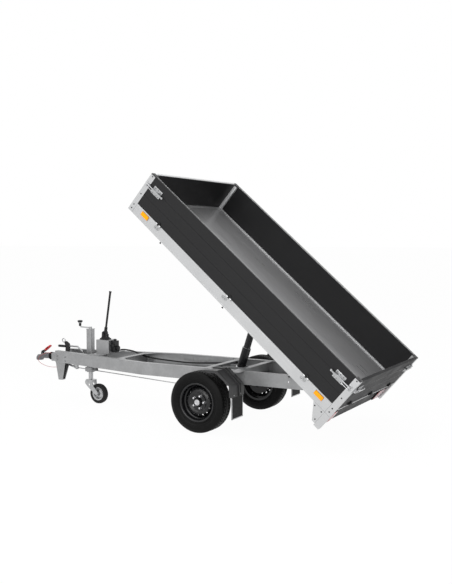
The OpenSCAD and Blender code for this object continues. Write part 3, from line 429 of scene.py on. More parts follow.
def drop(*objs):
    """Deletes the objects."""
    for obj in objs:
        only(obj)
        bpy.ops.object.delete()


def copies(pattern, places):
    """One object with a copy of the pattern at each place; the pattern itself goes."""
    made = [copy_of(pattern, matrix) for matrix in places]
    drop(pattern)
    return together(made)


def together(objs):
    """Joins the objects into the first one."""
    bpy.ops.object.select_all(action="DESELECT")
    for obj in objs:
        obj.select_set(True)
    bpy.context.view_layer.objects.active = objs[0]
    if len(objs) > 1:
        bpy.ops.object.join()
    return objs[0]


def keep(obj, name, finish, body, smooth=32.0):
    """Names a finished piece, gives it its finish and the body that it rides on."""
    only(obj)
    obj.name = obj.data.name = name
    bpy.ops.object.shade_smooth_by_angle(angle=math.radians(smooth))
    obj.data.materials.clear()
    obj.data.materials.append(FINISHES[finish])
    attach(obj, body)
    return obj


def facing(place, direction, turn=0.0):
    """The matrix that stands Z along a direction at a place."""
    stand = Vector(direction).to_track_quat("Z", "Y").to_matrix().to_4x4()
    return Matrix.Translation(place) @ stand @ Matrix.Rotation(turn, 4, "Z")


SIDES = (("left", -1.0), ("right", 1.0))
WAYS = tuple(way for _, way in SIDES)


# Breakaway cable: a coated wire from the housing round the coupling and back to the brake
CABLE_ROUTE = ((-2228.4, -30, 498), (-2246, -33, 500), (-2276, -42, 504), (-2310, -48, 500), (-2350, -50, 484),
               (-2390, -50, 464), (-2420, -48, 440), (-2424, -48, 416), (-2404, -50, 394), (-2370, -50, 376),
               (-2330, -48, 362), (-2290, -44, 353), (-2250, -38, 348), (-2210, -30, 348), (-2173.5, -24, 352))
CABLE_THICK = 0.004


def even_route(points, steps):
    """Points along a Catmull-Rom line through the route."""
    ends = [points[0] * 2 - points[1], *points, points[-1] * 2 - points[-2]]
    out = []
    for p0, p1, p2, p3 in zip(ends, ends[1:], ends[2:], ends[3:]):
        for k in range(steps):
            f = k / steps
            out.append(0.5 * (2 * p1 + (p2 - p0) * f + (2 * p0 - 5 * p1 + 4 * p2 - p3) * f * f
                              + (3 * p1 - 3 * p2 + p3 - p0) * f * f * f))
    return [*out, points[-1]]


def make_cable():
    """The breakaway wire as a cord, replacing the solid one."""
    route = even_route([mm(*p) for p in CABLE_ROUTE], 4)
    curve = bpy.data.curves.new("breakaway_wire", "CURVE")
    curve.dimensions = "3D"
    curve.bevel_depth = CABLE_THICK / 2.0
    curve.bevel_resolution = 4
    curve.use_fill_caps = True
    spline = curve.splines.new("POLY")
    spline.points.add(len(route) - 1)
    for point, place in zip(spline.points, route):
        point.co = (*place, 1.0)
    wire = bpy.data.objects.new("breakaway_wire", curve)
    scene.collection.objects.link(wire)
    curve.materials.append(FINISHES["red_cable"])
    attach(wire, "chassis")
    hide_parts("breakaway_cable")


make_cable()

# Wheels, made round Z with Z outwards, then stood at each hub
WHEEL_OUT = 598.0
WHEEL_UP = 277.5
WHEEL_FACE = 30.0
WHEELS = {side: facing(mm(0, way * WHEEL_OUT, WHEEL_UP), (0, way, 0)) for side, way in SIDES}
TYRE_STEPS = 180
# Half of the tyre's section from the bead out: bead, sidewall with its rings, shoulder, then the tread's ribs
TYRE_HALF = ((162.5, 71), (180, 71), (184, 76), (187, 78.5), (190.5, 78), (192, 76.8), (196, 80.5), (206, 86.3),
             (207.5, 88), (210.5, 88.2), (212, 87.6), (219.8, 91.6), (231, 92.2), (232.5, 91.0), (236, 90.6),
             (237.5, 91.2), (247.7, 87.3), (258, 82.4), (266, 78), (271.5, 73.8), (274.4, 68), (276.2, 60),
             (276.6, 57.2), (270, 56), (270, 50), (276.8, 48.8), (277.2, 24.4), (270.5, 23), (270.5, 16.5),
             (277.3, 15.2), (277.4, 0))
# Two rows of sipes on each half: least radius, their span from the middle, which column of three, and margin
SIPES = ((0.2735, 0.0573, 0.072, 0, 0.0026), (0.2768, 0.030, 0.045, 1, 0.0030))
SIPE_DEPTH = -0.0055


def make_tyres():
    """Tyres with ribs and sipes, replacing the plain ones."""
    mirrored = [(r, -z) for r, z in reversed(TYRE_HALF[:-1])]
    pattern = turned([*TYRE_HALF, *mirrored], TYRE_STEPS)
    step = 2.0 * math.pi / TYRE_STEPS
    for radius, near, far, column, margin in SIPES:
        def on_row(c, _):
            turn = int(math.atan2(c.y, c.x) / step + TYRE_STEPS) % 3
            return Vector((c.x, c.y)).length > radius and near < abs(c.z) < far and turn == column

        sink(pattern, on_row, margin, SIPE_DEPTH)
    for side, _ in SIDES:
        tyre = keep(copy_of(pattern, WHEELS[side]), f"road_tyre_{side}", "tyre", f"wheel_{side}", 40.0)
        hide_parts(f"tyre_{side}")
    drop(pattern)


STUDS = 5
STUD_CIRCLE = 0.056
STEM_PLACE = (0.1485, 0, 0.028)
STEM_TURN = 0.6


def make_wheel_trim():
    """Wheel nuts, the hub's cap and the valve's stem."""
    nut = turned([(7, 5), (14.6, 5), (14.6, 8), (12.4, 9.5), (12.2, 20), (10.4, 24), (6.5, 26.5), (0.0, 27.2),
                  (0.0, 5)], 6)
    soften(nut, 0.0008, 2)
    cap = turned([(0, 35.2), (7, 35.2), (8, 36.2), (17, 36.2), (18, 35.2), (20, 36.6), (23.5, 36.9), (25.8, 36),
                  (26.6, 34.1), (0, 34.1)], 48)
    stem = turned([(0, 0), (5.5, 0), (5.5, 8), (4.0, 12), (3.6, 30), (4.2, 31), (4.2, 40), (3, 41), (0, 41)], 20)
    face = Matrix.Translation((0.0, 0.0, WHEEL_FACE / 1000.0))
    holes = [Matrix.Rotation(math.radians(360.0 / STUDS * i), 4, "Z") @ Matrix.Translation((STUD_CIRCLE, 0, 0))
             for i in range(STUDS)]
    for side, _ in SIDES:
        for pattern, name, finish, spots in (
                (nut, "wheel_nuts", "bright_steel", [WHEELS[side] @ face @ hole for hole in holes]),
                (cap, "hub_cap", "bright_steel", [WHEELS[side] @ face]),
                (stem, "valve_stem", "rubber", [WHEELS[side] @ Matrix.Rotation(STEM_TURN, 4, "Z")
                                                @ Matrix.Translation(STEM_PLACE)])):
            keep(copies(copy_of(pattern), spots), f"{name}_{side}", finish, f"wheel_{side}")
    drop(nut, cap, stem)


# The rim's section, from the hub's bore over the dished nave and the barrel to the outer lip, and back behind
RIM_SECTION = ((33, 35), (40, 36), (44, 38.5), (48, 37), (72, 36), (80, 39), (88, 46.5), (94, 50), (100, 50),
               (105, 47), (112, 43), (122, 38), (130, 26), (136, 6), (138.2, -5), (139.0, -5), (139.2, 9),
               (140.5, 14), (146, 21.5), (152.5, 25.5), (156.6, 30), (157.8, 36), (158.2, 58), (159.8, 66),
               (163.5, 72), (169, 75.2), (175.6, 75.8), (177.8, 74.4), (177.8, 71.3), (162.2, 71.3), (162.2, 29),
               (160, 26.4), (154, 21.5), (146, 14), (143.8, 8), (143.6, -37), (162, -53), (162.2, -71.3),
               (177.8, -71.3), (177.8, -74.9), (158, -74.9), (158, -51), (139.6, -35), (139.2, -12), (137, -14),
               (133, -8), (127, 14), (120, 32), (110, 38), (100, 44.5), (94, 44.5), (84, 38), (78, 30), (33, 30))
VENTS = 16
VENT_CIRCLE = 0.1195
VENT_RADIUS = 0.0078


def make_rims():
    """Pressed steel rims, replacing the plain ones, with a ring of vent holes."""
    pattern = turned(RIM_SECTION, 96)
    cutters = []
    for k in range(VENTS):
        angle = 2.0 * math.pi * k / VENTS
        spot = Vector((VENT_CIRCLE * math.cos(angle), VENT_CIRCLE * math.sin(angle), 0.0))
        cutters.append(rod(spot + Vector((0, 0, -0.03)), spot + Vector((0, 0, 0.07)), VENT_RADIUS, 16))
    cutter = together(cutters)
    only(pattern)
    bpy.ops.object.modifier_add(type="BOOLEAN")
    pattern.modifiers[-1].operation = "DIFFERENCE"
    pattern.modifiers[-1].object = cutter
    bpy.ops.object.modifier_apply(modifier=pattern.modifiers[-1].name)
    drop(cutter)
    for side, _ in SIDES:
        rim = keep(copy_of(pattern, WHEELS[side]), f"steel_rim_{side}", "black_rim", f"wheel_{side}", 35.0)
        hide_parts(f"rim_{side}")
    drop(pattern)


make_tyres()
make_rims()
make_wheel_trim()


# Small pieces of the chassis
# The beams: half their spread where straight, at the nose, how far ahead the nose is, and the slant's rise and run
BEAM_HALF = 380.0
NOSE_HALF = 120.0
NOSE_AHEAD = 2120.0
SLANT_RISE = 260.0
SLANT_RUN = 1320.0


def beam_face(x):
    """How far from the middle a slanted beam's outer face is."""
    return NOSE_HALF + (NOSE_AHEAD + x) * SLANT_RISE / SLANT_RUN


def make_flap_edges():
    """Zinc strips down the sides and along the foot of each mud flap, which paint the highlight on its folded edges,
    and two bolts on each flap.
    """
    for side, way in SIDES:
        # Painted highlight: these strips stand in for the bright line along each flap's folded edges.
        strips = [block(mm(387.4, way * y - 3.5, 169), mm(389.0, way * y + 3.5, 360), 0.0006) for y in (518.5, 711.5)]
        strips.append(block(mm(387.4, way * 615 - 100, 169), mm(389.0, way * 615 + 100, 177), 0.0006))
        keep(together(strips), f"flap_edge_highlight_{side}", "zinc", "chassis")
        heads = [rod(mm(386, way * y, 380), mm(393, way * y, 380), 0.006, 12, 0.0015) for y in (560, 680)]
        keep(together(heads), f"guard_bolts_{side}", "zinc", "chassis")


def hex_bolt():
    """A bolt's head on its washer, standing along Z from 0."""
    head = turned([(0, 0), (13, 0), (13, 2), (9.6, 2), (9.6, 8.5), (7.5, 9.6), (0, 9.6)], 6)
    washer = turned([(0, 0), (13.5, 0), (13.5, 1.8), (12.8, 2.2), (0, 2.2)], 28)
    return together([head, washer])


def make_frame_bolts():
    """Bolts through the beams at the housing, the jack, the axle and the hinge brackets, on both sides."""
    spots = []
    slant = Vector((SLANT_RISE, SLANT_RUN, 0.0)).normalized()
    for way in WAYS:
        out = Vector((-slant.x, way * slant.y, 0.0))
        for x, z in ((-2090, 450), (-2090, 490), (-1960, 450), (-1960, 490)):
            spots.append(facing(mm(x, way * beam_face(x), z), out, 0.3))
        for x in (-200, -50, 190, 270):
            spots.append(facing(mm(x, way * BEAM_HALF, 450), (0, way, 0), 0.2))
        for x in (785, 855):
            spots.append(facing(mm(x, way * BEAM_HALF, 520), (0, way, 0), 0.1))
    keep(copies(hex_bolt(), spots), "frame_bolts", "galvanised", "chassis")


def capsule(a, b, ra, rb, steps=12):
    """The outline round two circles in one plane."""
    a, b = Vector(a), Vector(b)
    along = math.atan2((b - a).y, (b - a).x)
    lean = math.asin((ra - rb) / (b - a).length)
    points = []
    for centre, radius, start, end in ((b, rb, -math.pi / 2 + lean, math.pi / 2 - lean),
                                       (a, ra, math.pi / 2 - lean, 3 * math.pi / 2 + lean)):
        for k in range(steps + 1):
            angle = along + start + (end - start) * k / steps
            points.append((centre.x + radius * math.cos(angle), centre.y + radius * math.sin(angle)))
    return points


def make_lever_grip():
    """Red moulded grip over the upper part of the coupling's lever, with finger ribs."""
    stand = Matrix.Rotation(math.radians(90.0), 4, "X")
    grip = slab(capsule((90, 101), (150, 143), 12.6, 10.4), 24.4, 3.0, 3)
    settle(grip, Matrix.Translation((0.0, 0.0122, 0.0)) @ stand)
    keep(grip, "lever_grip", "red_lever", "chassis")
    axis = Vector((60.0, 42.0)).normalized()
    ribs = []
    for k in range(4):
        c = Vector((100.0, 108.0)) + axis * 11.0 * k
        rib = slab(capsule(c - axis * 2, c + axis * 2, 12.9 - 0.4 * k, 12.8 - 0.4 * k, 8), 25.6, 1.0)
        ribs.append(settle(rib, Matrix.Translation((0.0, 0.0128, 0.0)) @ stand))
    keep(together(ribs), "lever_grip_ribs", "red_lever", "chassis")


KNOB_STEPS = 40
HANDBRAKE_TUBE = 0.0086


def make_controls():
    """Knobs and sleeves of the small controls."""
    knob = turned([(0, -0.5), (12.6, -0.5), (13.6, 26), (18, 36), (24.6, 44), (27.6, 50), (27.6, 54), (24.6, 60),
                   (16, 62), (8, 62.6), (0, 62.6)], KNOB_STEPS)
    keep(settle(knob, Matrix.Translation(mm(-1870, 0, 814))), "crank_knob", "black_plastic", "chassis", 50.0)
    star = turned([(0, 0), (9, 0), (15, 2), (15.6, 5), (15.6, 12), (13, 16.5), (6, 17.5), (0, 17.5)], KNOB_STEPS)

    def fluted(c, _):
        turn = int(math.atan2(c.y, c.x) * KNOB_STEPS / math.tau + KNOB_STEPS)
        return Vector((c.x, c.y)).length > 0.015 and turn % 5 == 0

    sink(star, fluted, 0.0004, -0.0016)
    keep(settle(star, facing(mm(-1659.2, 0, 360), (1, 0, 0))), "clamp_knob", "black_plastic", "chassis", 40.0)
    tube = [rod(mm(-2046, 40, 582), mm(-1938, 40, 582), HANDBRAKE_TUBE),
            rod(mm(-1938, 40, 582), mm(-1862.5, 40, 523), HANDBRAKE_TUBE),
            rod(mm(-1863, 40, 440), mm(-1863, 40, 524), HANDBRAKE_TUBE)]
    bpy.ops.object.select_all(action="DESELECT")
    for x, z in ((-1938, 582), (-1862.7, 523.5)):
        bpy.ops.mesh.primitive_uv_sphere_add(segments=24, ring_count=12, radius=HANDBRAKE_TUBE,
                                             location=mm(x, 40, z))
        tube.append(settle(bpy.context.object))
    keep(together(tube), "handbrake_tube", "galvanised", "chassis", 50.0)
    bpy.ops.object.select_all(action="DESELECT")
    bpy.ops.mesh.primitive_torus_add(major_segments=40, minor_segments=14, major_radius=0.020,
                                     minor_radius=0.0054, location=mm(-2132, 40, 640),
                                     rotation=(math.radians(90), 0, 0))
    keep(settle(bpy.context.object), "handbrake_loop", "zinc", "chassis", 60.0)
    ring = turned([(12.6, 0), (14.2, 0.8), (14.2, 3.2), (12.6, 4)], 28)
    spots = [facing(mm(-2192 + 13 * k, 40, 576), (1, 0, 0)) for k in range(6)]
    keep(copies(ring, spots), "handbrake_grip_rings", "black_plastic", "chassis", 40.0)


def make_hose_ends():
    """Crimped hex fittings where the hose joins the valve and the cylinder."""
    fitting = turned([(8.3, 0), (13, 0), (13, 12), (10.5, 14), (10.5, 34), (8.3, 36)], 6)
    spots = [facing(mm(-1408, 63, 577), (0, 1, 0)), facing(mm(70, 70, 450), (0, 1, 0))]
    keep(copies(fitting, spots), "hose_fittings", "zinc", "chassis")


# The cylinder's lean and foot, and the equal steps by which the stages and the rod are drawn out
CYLINDER_LEAN = math.radians(18.11)
CYLINDER_FOOT = (70, 0, 450)
STAGE_STEP = 201.36


def make_cylinder_rings():
    """A chamfered gland ring round the barrel's top, and a wiper ring in the top of each stage."""
    foot = mm(*CYLINDER_FOOT)
    along = Vector((math.sin(CYLINDER_LEAN), 0.0, math.cos(CYLINDER_LEAN)))
    collar = [(48.1, -14), (50.4, -12.6), (50.4, -3), (48.6, 1.2), (43.6, 2.4), (41.6, 1.0), (41.6, 0.1),
              (48.1, 0.1)]
    rings = [("barrel", collar, 70.0, "cylinder_barrel")]
    for k, (inner, outer) in enumerate(((33.7, 40.7), (24.7, 32.7)), 1):
        wiper = [(inner, -0.1), (outer, -0.1), (outer, 1.4), (outer - 1.2, 2.6), (inner + 0.8, 2.6), (inner, 1.6)]
        rings.append((f"stage_{k}", wiper, k * STAGE_STEP + (70.0, 78.0)[k - 1], f"cylinder_stage_{k}"))
    for name, profile, top, body in rings:
        ring = settle(turned(profile, 56), facing(foot + along * top / 1000.0, along))
        keep(ring, f"gland_{name}", "bright_steel", body, 40.0)


def make_jack_details():
    """Cap on the jack's tube and the nuts of the jockey wheel's axle."""
    cap = block(mm(-1765.5, -35.5, 786), mm(-1694.5, 35.5, 793), 0.003, 3)
    keep(cap, "jack_cap", "zinc", "chassis")
    nuts = [facing(mm(-1622, way * 41, 106), (0, way, 0)) for way in WAYS]
    keep(copies(hex_bolt(), nuts), "jockey_axle_nuts", "zinc", "jockey_fork")


def make_weld_beads():
    """Rippled weld beads where the cross beams and the axle's brackets meet the drawbar beams."""
    bead = []
    for way in WAYS:
        for x, z0, z1 in ((-1180, 432, 538), (-1141, 432, 538)):
            y = beam_face(x) - 5.5
            bead.append((Vector((x, way * y, z0)), Vector((x, way * y, z1))))
        for x in (-100, 230, 850):
            bead.append((Vector((x - 1, way * 375.0, 432)), Vector((x - 1, way * 375.0, 538))))
        bead.append((Vector((-184, way * 381.0, 424)), Vector((-66, way * 381.0, 424))))
    rows = []
    for a, b in bead:
        count = max(2, int((b - a).length / 9.0))
        for k in range(count + 1):
            rows.append(facing(mm(*(a + (b - a) * k / count)), b - a))
    scale = turned([(0, -4.6), (3.0, -3.2), (4.0, 0), (3.0, 3.2), (0, 4.6)], 8)
    keep(copies(scale, rows), "weld_beads", "galvanised", "chassis", 60.0)


make_flap_edges()
make_frame_bolts()
make_lever_grip()
make_controls()
make_hose_ends()
make_cylinder_rings()
make_jack_details()
make_weld_beads()


# Small pieces of the bed, made flat and then raised with it
POST = 55.0
BED_LEN = 2620.0
HALF_W = 780.0
BED_TOP = 405.0


def raised(obj):
    """Raises a piece that was made flat with the bed."""
    return settle(obj, BED)


def side_block(way, xs, ys, zs, soft, rounds=2):
    """A block of the flat bed between two x, two y and two z, on the side that way gives."""
    y0, y1 = sorted(way * y for y in ys)
    return block(flat(xs[0], y0, zs[0]), flat(xs[1], y1, zs[1]), soft, rounds)


def keep_by_body(by_body, name, finish):
    """Keeps one raised piece for each body, of the parts that ride on it."""
    for body, parts in by_body.items():
        keep(raised(together(parts)), f"{name}_{body}", finish, body, 40.0)


def make_board_edges():
    """Thin aluminium strips that paint the highlight along the side boards' top inner edges, and the front board's
    pale cap.
    """
    for side, way in SIDES:
        # Painted highlight: a thin bright strip where each side board's top inner edge catches the light.
        strip = side_block(way, (-2559, -61), (754.6, 757.6), (401, 405.5), 0.0005)
        keep(raised(strip), f"top_edge_highlight_{side}", "aluminium", f"side_board_{side}")
    cap = block(flat(-2619.2, -727, 390), flat(-2598, 727, 405.4), 0.001)
    keep(raised(cap), "front_board_cap", "aluminium", "bed")


def make_post_caps():
    """A dark moulded cap over the top of each corner post."""
    caps = []
    for way in WAYS:
        for x in (-BED_LEN, -POST):
            caps.append(side_block(way, (x - 0.3, x + POST + 0.3), (727.7, 780.4), (BED_TOP - 9, BED_TOP + 0.2),
                                   0.0014, 3))
    keep(raised(together(caps)), "post_caps", "black_plastic", "bed")


BEAD_HEIGHTS = (9.0, 88.0)


def make_rail_beads():
    """Rolled lines along the outer face of each rail and of the front rail."""
    made = [side_block(way, (-2563, -57), (779.8, 780.9), (h, h + 2.2), 0.0004)
            for way in WAYS for h in BEAD_HEIGHTS]
    made += [block(flat(-2619.9, -726, h), flat(-2619.0, 726, h + 2.2), 0.0003) for h in BEAD_HEIGHTS]
    keep(raised(together(made)), "rail_beads", "aluminium", "bed")


def make_seams():
    """Dark joints between rails, posts and rear plates, partly painted shade by the proud posts and under the rails,
    and pale strips of painted highlight on the ledges and inner front corners.
    """
    lines, strips = [], []
    for way in WAYS:
        for xs, zs in (((-56, -54.4), (-132, 98)), ((-2565.6, -2564), (1, 98)), ((-166, -56), (-0.8, 0.8)),
                       ((-54, -1), (-0.8, 0.8))):
            # Dark joints, partly painted shade beside the proud posts and under the rails' lower edge.
            lines.append(side_block(way, xs, (780.0, 780.5), zs, 0.0002))
        # Painted highlights: pale strips along the ledge above the rail and down the inner faces of the front posts.
        strips.append(side_block(way, (-2560, -60), (740.5, 751.0), (98.6, 99.8), 0.0003))
        strips.append(side_block(way, (-2597, -2565.5), (727.4, 728.2), (100, 388), 0.0002))
        strips.append(side_block(way, (-2565.2, -2564.5), (728.0, 753.0), (100, 388), 0.0002))
    keep(raised(together(lines)), "joint_shade_lines", "cast", "bed")
    keep(raised(together(strips)), "inner_highlight_strips", "pale_edge", "bed")


def make_reflectors():
    """Amber reflectors with a sunk field, on black backs."""
    backs, lenses = [], []
    for way in WAYS:
        for s in (180.0, 2430.0):
            backs.append(side_block(way, (-s - 47, -s + 47), (780.1, 783.0), (45, 85), 0.0012))
            lens = side_block(way, (-s - 45.5, -s + 45.5), (782.4, 786.9), (46.5, 83.5), 0.0028, 3)
            sink(lens, lambda c, n, way=way: n.y * way > 0.9, 0.002, -0.0006)
            lenses.append(lens)
    keep(raised(together(backs)), "reflector_backs", "black_plastic", "bed")
    lens = keep(raised(together(lenses)), "reflector_lenses", "amber_lens", "bed", 20.0)
    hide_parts("side_reflectors")


LAMP_RIBS = 12


def make_rear_lamps():
    """Lamp housings with a red, a clear and a dark red field, ribbed across."""
    housings, fields = [], {"red_lens": [], "clear_lens": [], "dark_lens": []}
    for way in WAYS:
        housing = side_block(way, (-29.9, -19), (524.0, 724.0), (-140, -10), 0.004, 3)
        sink(housing, lambda c, n: n.x > 0.9, 0.005, -0.003)
        housings.append(housing)
        for name, a, b in (("red_lens", 530, 600), ("clear_lens", 603, 668), ("dark_lens", 671, 718)):
            lens = side_block(way, (-23, -16.2), (a, b), (-133, -17), 0.0025, 3)
            ribs = [side_block(way, (-17.4, -15.6), (a + 3, b - 3), (-129 + 9.6 * k, -124 + 9.6 * k), 0.0008)
                    for k in range(LAMP_RIBS)]
            fields[name].append(together([lens, *ribs]))
    housing = keep(raised(together(housings)), "lamp_housings", "black_plastic", "bed")
    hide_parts("rear_lamps")
    for name, parts in fields.items():
        keep(raised(together(parts)), f"lamp_{name}es", name, "bed")


def make_gate_teeth():
    """The row of drain teeth along the sill under the tailgate, and the lip over them."""
    tooth = block(flat(-1.0, -5.5, 62.0), flat(2.6, 5.5, 71.0), 0.0012)
    spots = [Matrix.Translation((0.0, y / 1000.0, 0.0)) for y in range(-700, 701, 20)]
    keep(raised(copies(tooth, spots)), "sill_teeth", "pale_edge", "bed")
    lip = block(flat(-1.0, -712, 73.5), flat(1.4, 712, 76.0), 0.0005)
    keep(raised(lip), "sill_lip", "aluminium", "bed")


def make_gate_seams():
    """Dark joints between the tailgate's three planks, a little proud."""
    seams = [block(flat(-1.0, -706, h), flat(0.5, 706, h + 2.6), 0.0003) for h in (204.0, 306.0)]
    keep(raised(together(seams)), "gate_seams", "black_steel", "tailgate")


# The latches: where the side boards' rear and front ones start, how far out those of the ends are, and their height
LATCH_REAR = -79.0
LATCH_FRONT = -2541.0
LATCH_OUT = 704.0
LATCH_UP = 300.0


def latch_spots(x, y, z):
    """Places on all eight latches, from one place in a latch's own frame, with the way out and the body."""
    for side, way in SIDES:
        for base, along in ((LATCH_REAR, 1.0), (LATCH_FRONT, -1.0)):
            yield Vector((base + along * x, way * (HALF_W + z), LATCH_UP - y)), (0, way, 0), f"side_board_{side}"
        yield Vector((z, way * (LATCH_OUT + x), LATCH_UP + y)), (1, 0, 0), "tailgate"
        yield Vector((-BED_LEN - z, way * (LATCH_OUT + x), LATCH_UP + y)), (-1, 0, 0), "bed"


def make_latch_details():
    """Three rivets and a thumb pad on every latch."""
    by_body = {}
    rivet = turned([(0, 0), (5.2, 0), (5.0, 1.4), (3.4, 2.6), (0, 3.0)], 16)
    pad = turned([(0, -0.4), (9.6, -0.4), (9.6, 3.8), (8.2, 5.2), (6.0, 5.2), (5.0, 4.4), (0, 4.4)], 28)
    for pattern, x, y, z in ((rivet, -64, 24, 3), (rivet, -122, 25, 3), (rivet, -24, 24, 3), (pad, -158, -5, 17.2)):
        for place, out, body in latch_spots(x, y, z):
            by_body.setdefault(body, []).append(copy_of(pattern, facing(place / 1000.0, out)))
    drop(rivet, pad)
    keep_by_body(by_body, "latch_heads", "zinc")


def make_latch_plates():
    """A screwed plate above each latch's lever and a raised bracket round each keeper."""
    plates, brackets, screws = {}, [], {}
    screw = turned([(0, 0), (4.6, 0), (4.2, 1.4), (0, 1.8)], 14)
    for low, high, bracket in (((-128, -42, 0), (-22, -12.5, 2.6), False), ((26, -23, 0), (60, -12, 5.5), True),
                               ((26, 6, 0), (60, 23, 5.5), True)):
        for (a, _, body), (b, _, _) in zip(latch_spots(*low), latch_spots(*high)):
            corners = [[f(u, v) for u, v in zip(a, b)] for f in (min, max)]
            plate = block(*(Vector(c) / 1000.0 for c in corners), 0.0008)
            if bracket:
                brackets.append(plate)
            else:
                plates.setdefault(body, []).append(plate)
    for x, y, z, bracket in ((-112, -29, 2.4, False), (-78, -29, 2.4, False), (-44, -29, 2.4, False),
                             (43, 14, 5.3, True)):
        for place, out, body in latch_spots(x, y, z):
            owner = "bed" if bracket else body
            screws.setdefault(owner, []).append(copy_of(screw, facing(place / 1000.0, out)))
    drop(screw)
    keep_by_body(plates, "latch_plates", "zinc")
    keep(raised(together(brackets)), "keeper_brackets", "zinc", "bed", 40.0)
    keep_by_body(screws, "latch_screws", "black_steel")


HOOK_WIRE = 0.0028
HOOK_PIN = 0.0038


def make_latch_hooks():
    """A bent wire hook from each latch's pivot over the lip of its keeper."""
    by_body = {}
    for y in (-9.0, 13.0):
        ends = [list(latch_spots(x, y, z)) for x, z in ((-30, 19), (46, 19.5), (50, 9))]
        for (a, _, body), (b, _, _), (c, _, _) in zip(*ends):
            rods = by_body.setdefault(body, [])
            rods.append(rod(a / 1000.0, b / 1000.0, HOOK_WIRE, 12))
            rods.append(rod(b / 1000.0, c / 1000.0, HOOK_WIRE, 12))
    for (a, _, body), (b, _, _) in zip(latch_spots(50, -11, 9), latch_spots(50, 15, 9)):
        by_body[body].append(rod(a / 1000.0, b / 1000.0, HOOK_WIRE, 12))
    for (a, _, body), (b, _, _) in zip(latch_spots(-30, -14, 19), latch_spots(-30, 16, 19)):
        by_body[body].append(rod(a / 1000.0, b / 1000.0, HOOK_PIN, 14, 0.0008))
    keep_by_body(by_body, "latch_hooks", "bright_steel")


def make_post_fasteners():
    """Dark screws down the posts and the rear side plates."""
    screw = turned([(0, 0), (6.5, 0), (6.2, 1.2), (4.5, 2.4), (2.4, 2.4), (2.0, 1.2), (0, 1.2)], 20)
    spots = []
    for way in WAYS:
        for s in (POST / 2.0, BED_LEN - POST / 2.0):
            for h in (30, 70, 190, 385):
                spots.append(facing(flat(-s, way * HALF_W, h), (0, way, 0)))
        for s, h in ((75, -20), (75, -105), (150, -22)):
            spots.append(facing(flat(-s, way * HALF_W, h), (0, way, 0)))
    keep(raised(copies(screw, spots)), "post_screws", "black_steel", "bed", 40.0)


def make_tie_loops():
    """A swinging loop in each tie-down plate and rope hooks under the rails."""
    spots = [facing(flat(-s, way * 783.0, 62), (0, way, 0)) for way in WAYS for s in (369, 1346, 2263)]
    bpy.ops.object.select_all(action="DESELECT")
    bpy.ops.mesh.primitive_torus_add(major_segments=32, minor_segments=10, major_radius=0.0105,
                                     minor_radius=0.0021)
    keep(raised(copies(bpy.context.object, spots)), "tie_loops", "zinc", "bed", 60.0)
    hook = turned([(0, 0), (4, 0), (4, -14), (9, -17), (9, -20), (4, -22), (0, -22)], 20)
    spots = [Matrix.Translation(flat(-s, way * 768.0, 1.0)) for way in WAYS for s in (470, 1308, 2153)]
    keep(raised(copies(hook, spots)), "rope_hooks", "black_steel", "bed", 40.0)


# The board hinges: their places as shares of the board's length, and half their width
HINGE_SHARES = (0.12, 0.5, 0.88)
HINGE_HALF = 30.0


def make_hinge_pins():
    """Pin heads at both ends of every board hinge."""
    head = turned([(0, 0), (6.4, 0), (6.4, 1.6), (4.6, 2.8), (0, 2.8)], 16)
    spots = []
    for way in WAYS:
        for f in HINGE_SHARES:
            s = POST + f * (BED_LEN - 2 * POST)
            for turn in (-1, 1):
                spots.append(facing(flat(-s + turn * HINGE_HALF, way * (HALF_W + 9.0), 99), (turn, 0, 0)))
    keep(raised(copies(head, spots)), "hinge_pin_heads", "galvanised", "bed", 40.0)


make_board_edges()
make_post_caps()
make_rail_beads()
make_seams()
make_reflectors()
make_rear_lamps()
make_gate_teeth()
make_gate_seams()
make_latch_details()
make_latch_plates()
make_latch_hooks()
make_post_fasteners()
make_tie_loops()
make_hinge_pins()


# Floor and light
FLOOR_WHITE = 0.97
SKY_LIGHT = 0.62


def seen_directly(nodes, links):
    """One where the camera or a reflection sees the surface, and nought where it only gives light."""
    path = nodes.new("ShaderNodeLightPath")
    seen = nodes.new("ShaderNodeMath")
    seen.operation = "MAXIMUM"
    links.new(path.outputs["Is Camera Ray"], seen.inputs[0])
    links.new(path.outputs["Is Glossy Ray"], seen.inputs[1])
    return seen.outputs[0]


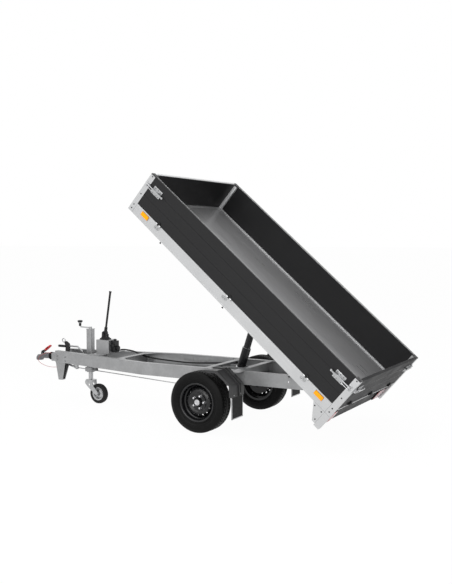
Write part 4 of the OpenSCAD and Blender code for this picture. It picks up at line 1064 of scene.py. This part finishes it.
def make_floor():
    """A pale floor that fades to white to the camera and keeps a soft share of the shadow."""
    bpy.ops.object.select_all(action="DESELECT")
    bpy.ops.mesh.primitive_plane_add(size=400.0, location=(AXLE_X, 0.0, GROUND_Z))
    floor = bpy.context.object
    floor.name = "floor_plane"
    mat = bpy.data.materials.new("pale_floor")
    mat.use_nodes = True
    nodes, links = mat.node_tree.nodes, mat.node_tree.links
    shader = nodes["Principled BSDF"]
    shader.inputs["Base Color"].default_value = (0.93, 0.93, 0.93, 1.0)
    shader.inputs["Roughness"].default_value = 0.9
    white = nodes.new("ShaderNodeEmission")
    share = nodes.new("ShaderNodeMapRange")
    share.inputs["To Max"].default_value = FLOOR_WHITE
    links.new(seen_directly(nodes, links), share.inputs["Value"])
    mix = nodes.new("ShaderNodeMixShader")
    links.new(share.outputs["Result"], mix.inputs["Fac"])
    links.new(shader.outputs["BSDF"], mix.inputs[1])
    links.new(white.outputs["Emission"], mix.inputs[2])
    links.new(mix.outputs["Shader"], nodes["Material Output"].inputs["Surface"])
    floor.data.materials.append(mat)


def make_world():
    """A grey sky that lights the part, and white to the camera and in reflections."""
    world = bpy.data.worlds.new("studio")
    scene.world = world
    world.use_nodes = True
    nodes, links = world.node_tree.nodes, world.node_tree.links
    background = nodes["Background"]
    background.inputs["Color"].default_value = (1.0, 1.0, 1.0, 1.0)
    level = nodes.new("ShaderNodeMapRange")
    level.inputs["To Min"].default_value = SKY_LIGHT
    level.inputs["To Max"].default_value = 1.0
    links.new(seen_directly(nodes, links), level.inputs["Value"])
    links.new(level.outputs["Result"], background.inputs["Strength"])


def make_lamp(name, place, target, size, power):
    """A rectangular lamp at a place, turned to a target."""
    lamp = bpy.data.lights.new(name, "AREA")
    lamp.shape = "RECTANGLE"
    lamp.size, lamp.size_y = size
    lamp.energy = power
    obj = bpy.data.objects.new(name, lamp)
    scene.collection.objects.link(obj)
    obj.location = place
    obj.rotation_euler = (Vector(target) - Vector(place)).to_track_quat("-Z", "Y").to_euler()


make_floor()
make_world()
make_lamp("lamp_above", at(0.5, -1.5, 5.5), at(0.3, 0.0, 0.8), (8.0, 7.0), 250.0)
make_lamp("lamp_side", at(1.5, -6.0, 3.0), at(0.3, 0.0, 0.9), (4.0, 3.0), 110.0)
scene.view_settings.view_transform = "Standard"
